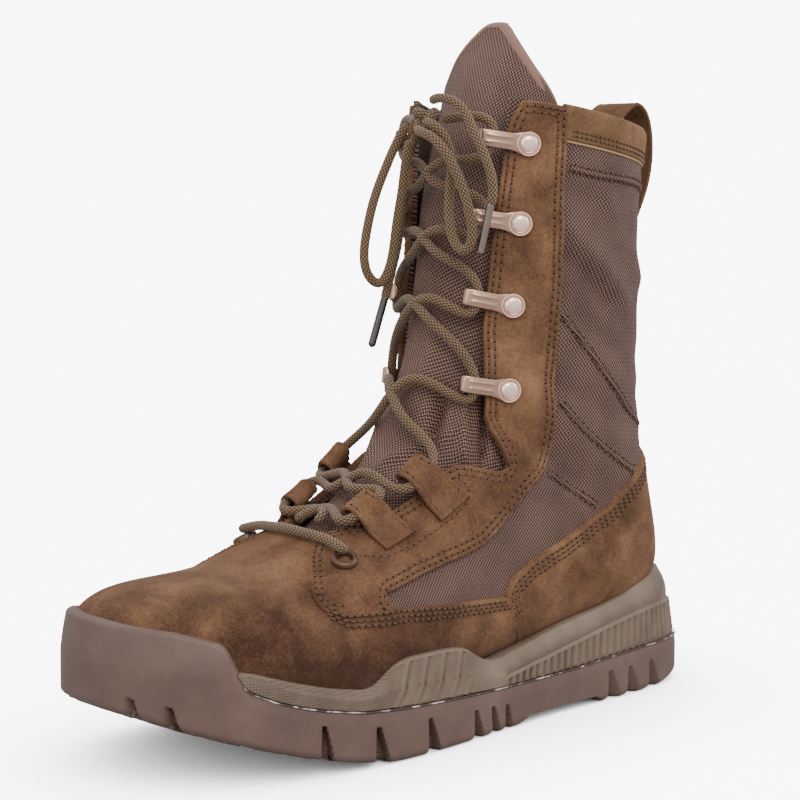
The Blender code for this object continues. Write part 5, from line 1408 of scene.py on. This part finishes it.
def make_midsole():
    """Foam midsole: a closed band whose outline is carried round behind the bumper; upright V
    ribs round the heel band and slanted ridges on the stabiliser are taken from its inset."""
    angle, length = even_angles(0.5)
    count = len(angle)
    y0 = outline(angle, 0.0)[1]
    keep = y0 > MIDSOLE_FRONT_Y
    first = int(np.argmax(keep))
    final = len(angle) - int(np.argmax(keep[::-1]))
    angle = angle[first:final]
    y0 = y0[first:final]
    run = np.arange(len(angle)) * length / count
    rim = column(RIM_Z, y0, 3.5)
    joint = np.minimum(outsole_top(y0), rim - 0.5)
    band = np.clip(column(BAND_Z, y0, 4.0), joint + 0.25, rim - 0.2)
    band_inset = column(BAND_INSET, y0, 3.0)
    rim_inset = column(RIM_INSET, y0, 4.0)
    ribbed = ease((y0 - 10.0) / 6.0)
    tooth = np.abs(((run / RIB_PITCH) % 1.0) * 2 - 1)
    tooth = ease((0.5 - tooth) / 0.24)
    stabiliser = ease((y0 + 57.0) / 4.0) * ease((-9.0 - y0) / 4.0)
    rows = []
    for share in np.linspace(0.0, 1.0, 12):
        edge = ease(share / 0.1) * ease((1 - share) / 0.1)
        inset = (BAND_FOOT_INSET + (band_inset - BAND_FOOT_INSET) * share
                 + RIB_DEPTH * tooth * ribbed * edge)
        inset = inset + 0.8 * (1 - ease(share / 0.07))
        rows.append((inset, joint + 0.2 + (band - joint - 0.2) * share, share * 0.5))
    step = band_inset + 1.3 * ribbed
    rows.append((step * 0.75 + band_inset * 0.25, band + 0.5, 0.5))
    foot = band + 1.0
    for share in np.linspace(0.0, 1.0, 13):
        swell = 0.9 * np.sin(share * math.pi) * ribbed
        inset = step + (rim_inset - step) * share**1.2 - swell
        rows.append((inset, foot + (rim - 0.9 - foot) * share, 0.5 + share * 0.5))
    shaped = []
    for inset, height, share in rows:
        slope = y0 - 3.0 * (share - 0.5) * 2
        off = slope - RIDGES_Y[:, None]
        ridge = ease((1.3 - np.abs(off)) / 0.7) - ease((1.1 - np.abs(off - 2.3)) / 0.7)
        ridge = ridge.sum(axis=0)
        edge = math.sin(min(1.0, max(0.0, share)) * math.pi) ** 0.35
        inset = inset + (0.6 - 1.1 * ridge) * stabiliser * edge
        shaped.append((inset, height))
    met = foot_inset(angle, rim, rim_inset + 1.5)
    shaped += [(rim_inset + 0.25, rim - 0.25), (rim_inset + 0.8, rim),
               ((rim_inset + 0.8 + met) / 2, rim), (met, rim - 0.2), (met + 0.5, rim - 2.0),
               (np.maximum(met, 5.0), joint + 1.5), (4.0 + 0 * y0, joint + 0.2)]
    points = np.array([np.stack((*outline(angle, inset), height), axis=1)
                       for inset, height in shaped])
    for end in (0, -1):
        points[:, end] = points[:, end].mean(axis=0)
    make_mesh("foam_midsole", points, grid_quads(*points.shape[:2], cyclic_rows=True), FOAM,
              "midsole")
    along = slice(4, -4, 2)
    x, y = outline(angle[along], 0.3)
    line = np.stack((x, y, joint[along] + 0.05), axis=1)
    tube("cement_line", line, 0.3, GLUE, "midsole", 1.0, 6)


# ---- Fastenings ------------------------------------------------------------------------------
PANEL_TOP = 2.4
GAP = 0.3
LACE_R = 1.9
EYELET_PLACE = (4.1, 0.23)
EYELET_R = 5.2
# section, turn, degrees by which the arm dips towards the toe
HOOK_PLACES = ((9.33, 0.231, 25.0), (11.2, 0.236, 15.0), (12.88, 0.251, 8.0),
               (14.25, 0.268, 0.0))
HOOK_DISC_R = 5.0
HOOK_CAP_R = 3.65
HOOK_CAP_H = 2.0
# radius and height of the ring pressed round the cap
HOOK_RING = ((4.9, -0.4), (4.9, 0.6), (4.7, 1.0), (4.3, 1.0), (4.1, 0.5), (3.7, 0.3))
HOOK_PLATE = 1.0
HOOK_ARM_HALF = 3.3
HOOK_SEAT_R = HOOK_DISC_R + 3.5
HOOK_RIB_AT = 0.42
# reach towards the throat and height, along the plate from its back to its rolled tip
HOOK_PATH = np.array((
    (-5.0, 0.0), (-3.4, 0.0), (0.0, 0.0), (4.5, 0.1), (9.0, 0.6), (17.0, 0.8), (19.4, -0.3),
    (19.6, -2.8)))
# section, turn, half width at the root and at the fold
TAB_PLACES = ((5.33, 0.262, 8.2, 6.6), (6.55, 0.283, 9.5, 6.5))
TAB_CLEAR = 3.6
HOOK_CLEAR = 2.8
TAB_THICK = 1.2
TAB_PATH = np.array((
    (0.0, 0.2), (6.0, 0.4), (10.0, 1.8), (13.4, 4.9), (16.6, 6.6), (20.0, 6.2), (21.9, 3.6),
    (20.8, 1.3), (17.5, 1.0), (14.0, 0.9)))
TAB_LACE = (17.6, 3.4)
HOOK_LACE = (16.0, -2.0)
LACE_LIFT = 3.3
LACE_OVER = 1.5
LACE_UNDER = -0.4
LACE_START = (4.6, 0.04)
LACE_TURN = 0.14
CROSSING_SHARES = (0.34, 0.66)
LACE_BAR = ((4.1, 0.225, 7.1), (4.13, 0.15, 5.4), (4.1, 0.08, 4.5), (4.08, 0.0, 4.4))


def on_surface(place, reach, aside, height):
    """Points over the last: reach mm towards the throat, aside mm up the boot, height out."""
    s, t = place
    side = math.copysign(1.0, t)
    turn = t - side * np.asarray(reach, float) / float(girth_at(s, int(side)))
    per_section = np.linalg.norm(last(s + 0.05, turn) - last(s - 0.05, turn), axis=-1) / 0.1
    return last(s + np.asarray(aside, float) / per_section, turn, height)


def frame_at(s, t, out):
    """Place, direction to the throat, direction up the boot and outward normal at a place."""
    place = last(s, t, out)
    around = unit(last(s, t - math.copysign(0.01, t), out) - place)
    along = last(s + 0.05, t, out) - last(s - 0.05, t, out)
    along = unit(along - around * np.dot(along, around))
    normal = np.cross(along, around)
    return place, around, along, normal * np.sign(np.dot(normal, last(s, t, out + 1.0) - place))


def seat(place, radius):
    """How far a flat disc must stand off the last's tangent to clear its hollow curve."""
    origin, _, _, normal = frame_at(*place, 0.0)
    angle = 2 * math.pi * np.arange(8) / 8
    rim = on_surface(place, radius * np.cos(angle), radius * np.sin(angle), 0.0)
    return max(0.0, float(np.max((rim - origin) @ normal)))


def turned(name, profile, frame, look, node, sides=48):
    """A piece whose closed profile of radius and height is turned round a frame's normal."""
    origin, around, along, normal = frame
    angle = (2 * math.pi * np.arange(sides) / sides)[:, None, None]
    out = around * np.cos(angle) + along * np.sin(angle)
    profile = np.asarray(profile, float)
    points = origin + out * profile[None, :, 0:1] + normal * profile[None, :, 1:2]
    make_mesh(name, points, grid_quads(*points.shape[:2], cyclic_rows=True, cyclic_columns=True),
              look, node)


def make_eyelets():
    """Eyelet: a rolled ring turned round its middle, with a thin inner tube behind it."""
    angle = np.linspace(0.0, math.pi, 12)
    roll = np.stack((3.9 - 1.3 * np.cos(angle), 1.7 * np.sin(angle)), axis=1)
    profile = np.concatenate((((2.5, -1.5),), roll[:-1], (
        (EYELET_R, 0.0), (EYELET_R, -0.5), (3.0, -0.6), (2.9, -1.5))))
    for side, word in SIDES:
        s, t = EYELET_PLACE
        stand = seat((s, side * t), EYELET_R)
        frame = frame_at(s, side * t, PANEL_TOP + 1.4 * GAP + stand)
        turned(f"eyelet_ring_{word}", profile, frame, EYELET_METAL, f"eyelet_{word}")


def hook_half_width(reach):
    """Half width of a hook along its length: a disc that necks down to the arm."""
    disc = np.sqrt(np.maximum(HOOK_DISC_R**2 - reach**2, 0.4))
    start = math.sqrt(HOOK_DISC_R**2 - 4.0)
    blend = np.clip((reach - 2.0) / 6.0, 0.0, 1.0)
    arm = start + (HOOK_ARM_HALF - start) * np.sin(blend * math.pi / 2)
    return np.where(reach < 2.0, disc, arm)


def hook_frame(place, side):
    """A hook's frame, seated on the eyestay and turned so that its arm dips to the toe."""
    s, t, dip = place
    stand = seat((s, side * t), HOOK_SEAT_R)
    out = PANEL_TOP + 1.7 * GAP + HOOK_PLATE / 2 + stand
    origin, around, along, normal = frame_at(s, side * t, out)
    cosine = math.cos(math.radians(dip))
    sine = math.sin(math.radians(dip))
    return origin, around * cosine - along * sine, along * cosine + around * sine, normal


def hook_plate(frame):
    """A hook's plate: a rounded bar section carried along its side profile, with raised
    lines pressed along the arm and the tip rolled under."""
    origin, around, along, normal = frame
    path = smooth_path(HOOK_PATH, 0.35)
    reach = path[:, 0]
    run = run_along(path)
    size = HOOK_DISC_R
    half = np.where(run < size, np.sqrt(np.maximum(size**2 - (size - run) ** 2, 0.0)),
                    hook_half_width(np.where(run < 13.0, run - size, reach)))
    half = half * np.sqrt(np.clip(1 - ((run - run[-1] + 1.6) / 1.6).clip(0, 1) ** 2, 0.02, 1.0))
    side = beside(path)
    across = crowd(25)
    rib = (np.exp(-((across - HOOK_RIB_AT) / 0.12) ** 2)
           + np.exp(-((across + HOOK_RIB_AT) / 0.12) ** 2))
    on_arm = ease((run - 11.0) / 2.0) * ease((run[-1] - 4.5 - run) / 2.0)
    dome = HOOK_PLATE / 2 * np.sqrt(np.clip(1 - across**6, 0.0, 1.0))
    upper = dome[None, :] + 0.42 * rib[None, :] * on_arm[:, None]
    lower = -dome[None, :] + 0 * upper
    grids = []
    for height in (lower, upper):
        flat = path[:, None, :] + side[:, None, :] * height[..., None]
        wide = across[None, :, None] * half[:, None, None]
        grids.append(origin + around * flat[..., 0:1] + normal * flat[..., 1:2] + along * wide)
    return grids


def make_hooks():
    """Speed hooks: a plate, and a rivet whose ring and domed cap are one turned profile."""
    steps = np.linspace(0.0, math.pi / 2, 14)
    cap = [(HOOK_CAP_R * math.cos(k) ** 0.6, 0.4 + HOOK_CAP_H * math.sin(k) * 0.8)
           for k in steps[:-1]]
    profile = (*HOOK_RING, *cap, (0.0, 0.4 + HOOK_CAP_H * 0.8), (0.0, -0.4))
    for side, word in SIDES:
        for number, place in enumerate(HOOK_PLACES, start=1):
            frame = hook_frame(place, side)
            node = f"hook_{word}_{number}"
            slab(f"hook_plate_{word}_{number}", *hook_plate(frame), HOOK_METAL, node)
            # painted highlight: the rivet is the plate's plating coloured brighter
            turned(f"hook_rivet_{word}_{number}", profile, frame, CAP_PAINTED_HIGHLIGHT, node)


def make_tabs():
    """Lace tabs: a strap section carried along its folded side profile, edges rounded."""
    path = smooth_path(TAB_PATH, 0.7)
    step = beside(path)
    across = crowd(33)
    base = PANEL_TOP + GAP + TAB_THICK / 2
    reach = np.linspace(3.0, 17.5, 32)
    top = smooth_path(TAB_PATH, 0.3)
    rising = top[: int(len(top) * 0.6)]
    lift = np.interp(reach, rising[:, 0], rising[:, 1])
    for side, word in SIDES:
        for number, (s, t, root, fold) in enumerate(TAB_PLACES, start=1):
            half = np.interp(path[:, 0], (0.0, TAB_LACE[0]), (root, fold))
            edge = half[:, None] * (1 - np.abs(across))[None, :]
            thick = TAB_THICK * (0.5 + 0.3) * quarter(edge, 1.0)
            thick = thick - 0.22 * np.exp(-((edge - 2.0) / 0.6) ** 2)
            grids = []
            for sign in (-1, 1):
                flat = path[:, None, :] + sign * step[:, None, :] * thick[..., None]
                grids.append(on_surface((s, side * t), flat[..., 0],
                                        half[:, None] * across[None, :], base + flat[..., 1]))
            slab(f"suede_lace_tab_{word}_{number}", *grids, SUEDE, f"lace_tab_{word}_{number}")
            width = np.interp(reach, (0.0, TAB_LACE[0]), (root, fold)) - 2.0
            for hand in (-1, 1):
                line = on_surface((s, side * t), reach, hand * width, base + lift
                                  + TAB_THICK * 0.5 + 0.15)
                sew_line(line, (s, side * t))


def sew_line(line, near):
    """Stitches along a free run of points."""
    line = even_path(line, STITCH_PITCH)
    if len(line) < 3:
        return
    run = unit(np.gradient(line, axis=0))
    normal = np.broadcast_to(frame_at(*near, 0.0)[3], run.shape)
    normal = unit(normal - run * np.sum(normal * run, axis=1, keepdims=True))
    stitch_places.append((line, run, np.cross(normal, run), normal))


# ---- Laces -----------------------------------------------------------------------------------
KNOT_CENTRE = np.array((0.5, 6.8, 237.6))
KNOT_SIZE = (1.75, 2.2, 1.6)
KNOT_LACE_ENDS = ((8.4, 8.4, 237.8), (-7.6, 9.2, 236.8))
LOOP_LEFT = ((-5.7, 2.4, 236.3), (-9.5, 0.5, 229.0), (-12.0, -3.0, 219.0), (-14.0, -7.0, 207.0),
             (-14.5, -10.5, 194.0), (-14.5, -11.8, 183.5), (-14.0, -9.5, 175.8),
             (-13.0, -5.0, 173.2), (-12.0, -1.5, 177.5), (-11.0, 0.5, 186.5),
             (-10.0, 1.5, 198.0), (-7.5, 1.8, 210.0), (-4.5, 1.0, 221.5), (-2.0, 1.0, 230.0))
LOOP_RIGHT = ((6.0, 1.4, 236.7), (13.5, 0.8, 234.5), (17.0, 3.2, 228.5), (18.3, 4.4, 219.5),
              (17.6, 4.2, 208.5), (18.2, 4.0, 197.5), (21.0, 4.6, 189.5), (25.5, 5.4, 187.0),
              (28.6, 6.0, 191.5), (28.8, 5.0, 199.5), (27.2, 2.4, 210.5), (23.6, -0.6, 221.0),
              (17.0, -3.2, 229.5), (10.0, -3.4, 232.5), (4.5, -1.4, 234.0))
END_LEFT = ((-3.6, 5.9, 231.9), (-11.5, 7.6, 222.0), (-15.4, 8.6, 205.0), (-16.0, 7.5, 190.0),
            (-16.0, 3.5, 176.0), (-16.0, 0.5, 166.0))
AGLET_LEFT = ((-16.0, 1.2, 168.5), (-15.8, -6.6, 147.3))
END_RIGHT = ((4.6, 6.4, 245.2), (10.0, 4.5, 246.0), (17.0, 5.0, 245.0), (22.5, 6.5, 241.0),
             (27.5, 7.0, 233.5), (32.5, 8.0, 224.5), (35.4, 9.5, 215.5), (35.8, 10.0, 209.0),
             (34.8, 9.8, 204.4))
AGLET_RIGHT = ((35.3, 9.8, 206.5), (29.4, 9.6, 185.4))
AGLET_R = 1.6


def tube(name, route, radius, look, node, spacing=0.5, sides=16):
    """A round cord: a circle carried along the route by least turning frames, its ends drawn
    in by a quarter circle. Returns the object and its middle line."""
    path = smooth_path(route, spacing)
    _, first, second = path_frames(path)
    run = run_along(path)
    from_end = np.minimum(run, run[-1] - run)
    wide = radius * quarter(from_end + 0.02, radius)
    angle = 2 * math.pi * np.arange(sides + 1) / sides
    out = first[:, None] * np.cos(angle)[:, None] + second[:, None] * np.sin(angle)[:, None]
    points = path[:, None] + out * wide[:, None, None]
    uv = np.stack(np.broadcast_arrays(angle / (2 * math.pi), run[:, None] * MM), axis=-1)
    quads = grid_quads(len(path), sides + 1)
    made = make_mesh(name, points, quads, look, node, uv)
    fill_ends(made)
    return made, path


def fill_ends(made):
    """Closes the two small rings at a tube's ends with one face each."""
    work = bmesh.new()
    work.from_mesh(made.data)
    open_edges = [edge for edge in work.edges if edge.is_boundary]
    if open_edges:
        bmesh.ops.holes_fill(work, edges=open_edges, sides=0)
    bmesh.ops.recalc_face_normals(work, faces=work.faces)
    work.to_mesh(made.data)
    work.free()


def tab_lace(place, side, aside):
    """A place of the lace in a tab's fold, aside mm up the boot."""
    reach, height = TAB_LACE
    return on_surface((place[0], side * place[1]), reach, aside,
                      PANEL_TOP + GAP + TAB_THICK / 2 + height)


def hook_lace(place, side, aside):
    """A place of the lace under a hook's arm, aside mm up the boot."""
    origin, around, along, normal = hook_frame(place, side)
    reach, height = HOOK_LACE
    return origin + around * reach + normal * height + along * aside


def strand_route(side):
    """One lace from its eyelet, crossing the tongue from side to side up to the knot."""
    stations = [(tab_lace, place, place[3] + TAB_CLEAR) for place in TAB_PLACES]
    stations += [(hook_lace, place, HOOK_ARM_HALF + HOOK_CLEAR) for place in HOOK_PLACES]
    before_s = LACE_START[0]
    route = [last(before_s, side * LACE_START[1], LACE_LIFT)]
    for where, place, half in stations:
        for share in CROSSING_SHARES:
            s = before_s + share * (place[0] - before_s)
            over = (share == CROSSING_SHARES[0]) == (side > 0)
            lift = LACE_LIFT + (LACE_OVER if over else LACE_UNDER)
            route.append(last(s, side * LACE_TURN * (1 - 2 * share), lift))
        side = -side
        route.append(where(place, side, -half))
        route.append(where(place, side, half))
        before_s = place[0]
    route.append(np.array(KNOT_LACE_ENDS[0 if side > 0 else 1]))
    return np.array(route)


def free_cord(name, node, route):
    """A free run of lace that leaves the knot."""
    made, path = tube(name, route, LACE_R, LACE, node)


def make_laces():
    """Strands from eyelets to knot, the bar over the toe end of the throat, the knot (a
    trefoil: each of its axes is a sum of sines) and the bow's loops and ends."""
    for side, word in ((1, "first"), (-1, "second")):
        tube(f"lace_strand_{word}", strand_route(side), LACE_R, LACE, "lace_crossings", 0.7)
    half_bar = [last(s, t, height) for s, t, height in LACE_BAR]
    other = [last(s, -t, height) for s, t, height in reversed(LACE_BAR[:-1])]
    tube("lace_bar_over_toe", np.array(half_bar + other), LACE_R, LACE, "lace_bar")
    turn = np.linspace(0.0, 2 * math.pi, 160)
    wide, deep, tall = KNOT_SIZE
    knot = KNOT_CENTRE + np.stack((wide * (np.sin(turn) + 2 * np.sin(2 * turn)),
                                   -deep * np.sin(3 * turn),
                                   tall * (np.cos(turn) - 2 * np.cos(2 * turn))), axis=1)
    tube("lace_bow_knot", knot, LACE_R, LACE, "lace_knot", 0.6)
    aglets = {}
    for word, route in (("left", AGLET_LEFT), ("right", AGLET_RIGHT)):
        aglets[word], _ = tube(f"lace_tip_{word}", np.array(route), AGLET_R,
                               FILM if word == "left" else TIP_METAL, f"aglet_{word}")
    free_cord("bow_loop_left", "lace_loop_left", LOOP_LEFT)
    free_cord("bow_loop_right", "lace_loop_right", LOOP_RIGHT)
    free_cord("lace_tail_left", "lace_end_left", END_LEFT)
    free_cord("lace_tail_right", "lace_end_right", END_RIGHT)


# ---- Pull loop -------------------------------------------------------------------------------
PULL_HALF = 11.0
PULL_THICK = 1.8
PULL_BOW = 1.25
# section and height over the last, from inside the collar to the foot of the strap
PULL_PATH = ((14.3, -4.7), (14.62, -4.7), (14.86, -2.8), (14.98, 1.5), (15.05, 7.0),
             (14.98, 13.0), (14.74, 17.0), (14.44, 17.2), (14.16, 14.2), (13.9, 9.8),
             (13.6, 5.6), (13.3, 3.2))


def make_pull_loop():
    """Pull loop: a strap with rounded edges carried over the collar at the back."""
    centre = np.array([last(s, 0.99999, out)[1:] for s, out in PULL_PATH])
    centre = smooth_path(centre, 0.9)
    step = beside(centre)
    across = crowd(33)
    edge = PULL_HALF * (1 - np.abs(across))
    thick = PULL_THICK / 2 * quarter(edge, 0.9) - 0.2 * np.exp(-((edge - 2.0) / 0.6) ** 2)
    bow = PULL_BOW * across**2
    grids = []
    for sign in (-1, 1):
        flat = centre[:, None] + sign * step[:, None] * thick[None, :, None]
        x = np.broadcast_to(PULL_HALF * across[None, :], flat.shape[:2])
        grids.append(np.stack((x, flat[..., 0] - bow[None, :], flat[..., 1]), axis=-1))
    slab("suede_pull_loop", *grids, SUEDE, "pull_loop")


# ---- Camera, light and floor -----------------------------------------------------------------
CAMERA_TURN = math.radians(48.34)
CAMERA_RISE = math.radians(5.71)
CAMERA_ROLL = math.radians(0.58)
CAMERA_DISTANCE = 0.82108
CAMERA_LENS = 92.26
CAMERA_TARGET = (-0.00569, 0.00525, 0.1265)
UP = Vector((0.0, 0.0, 1.0))


def make_camera():
    """Camera at a turn and rise round its target, rolled a little, as turning back by both."""
    back = Vector((math.sin(CAMERA_TURN) * math.cos(CAMERA_RISE),
                   -math.cos(CAMERA_TURN) * math.cos(CAMERA_RISE), math.sin(CAMERA_RISE)))
    right = UP.cross(back).normalized()
    up = back.cross(right)
    side = right * math.cos(CAMERA_ROLL) + up * math.sin(CAMERA_ROLL)
    lens = bpy.data.cameras.new("camera")
    lens.lens = CAMERA_LENS
    camera = bpy.data.objects.new("camera", lens)
    turn = Matrix((side, back.cross(side), back)).transposed().to_4x4()
    camera.matrix_world = (Matrix.Translation(Vector(CAMERA_TARGET) + back * CAMERA_DISTANCE)
                           @ turn)
    bpy.context.scene.collection.objects.link(camera)
    bpy.context.scene.camera = camera


def make_lamp(name, place, aim, size, watts):
    """A large soft box aimed at a place."""
    light = bpy.data.lights.new(name, "AREA")
    light.shape = "SQUARE"
    light.size = size
    light.energy = watts
    lamp = bpy.data.objects.new(name, light)
    lamp.location = place
    lamp.rotation_euler = (Vector(place) - Vector(aim)).to_track_quat("Z", "Y").to_euler()
    bpy.context.scene.collection.objects.link(lamp)


def make_studio():
    """Pale paper sweep: a flat floor that curves up far behind the boot, under soft boxes.
    The paper glows for the camera only, so that it comes out white; the glow is dimmed by its
    open sky to a power, a painted shadow near the boot."""
    run = np.linspace(-3000.0, 3000.0, 61)
    paper, tree, shader = new_look("lit_white_paper", Roughness=0.4, Specular_IOR_Level=0.3)
    shader.inputs["Base Color"].default_value = linear("#b4b4b4")
    shader.inputs["Emission Color"].default_value = linear("#ffffff")
    seen = add_node(tree, "ShaderNodeLightPath").outputs["Is Camera Ray"]
    # painted shadow: the camera-only glow is dimmed where the boot hides the sky
    near = add_node(tree, "ShaderNodeAmbientOcclusion", {"Distance": 0.09}).outputs["AO"]
    near = maths(tree, "MULTIPLY", maths(tree, "POWER", near, 1.3), 8.0)
    tree.links.new(maths(tree, "MULTIPLY", seen, near), shader.inputs["Emission Strength"])
    mesh = bpy.data.meshes.new("paper_floor")
    x, y = np.meshgrid(run, run, indexing="ij")
    away = -x * math.sin(CAMERA_TURN) + y * math.cos(CAMERA_TURN)
    z = -0.05 + 1200.0 * ease((away - 700.0) / 2200.0) ** 1.2
    points = np.stack((x, y, z), axis=-1).reshape(-1, 3) * MM
    mesh.from_pydata(points.tolist(), [], grid_quads(61, 61).tolist())
    mesh.polygons.foreach_set("use_smooth", np.ones(len(mesh.polygons), bool))
    mesh.materials.append(paper)
    floor = bpy.data.objects.new("paper_floor", mesh)
    bpy.context.scene.collection.objects.link(floor)
    world = bpy.data.worlds.new("soft_room")
    world.use_nodes = True
    sky = world.node_tree.nodes["Background"]
    sky.inputs["Color"].default_value = linear("#ffffff")
    sky.inputs["Strength"].default_value = 1.2
    bpy.context.scene.world = world
    make_lamp("key_box", (1.1, -0.6, 1.2), (0.0, 0.02, 0.12), 0.8, 12.0)
    make_lamp("fill_box", (0.3, -1.3, 0.6), (0.0, 0.0, 0.12), 0.6, 3.0)
    make_lamp("rim_box", (0.8, 1.1, 1.0), (0.0, 0.05, 0.15), 0.8, 6.0)


make_camera()
make_laces()
nylon_shell()
make_panels()
make_cuff()
make_seams()
make_tongue()
make_footbed()
make_outsole()
make_midsole()
make_eyelets()
make_hooks()
make_tabs()
make_pull_loop()
sew_everything()
make_studio()
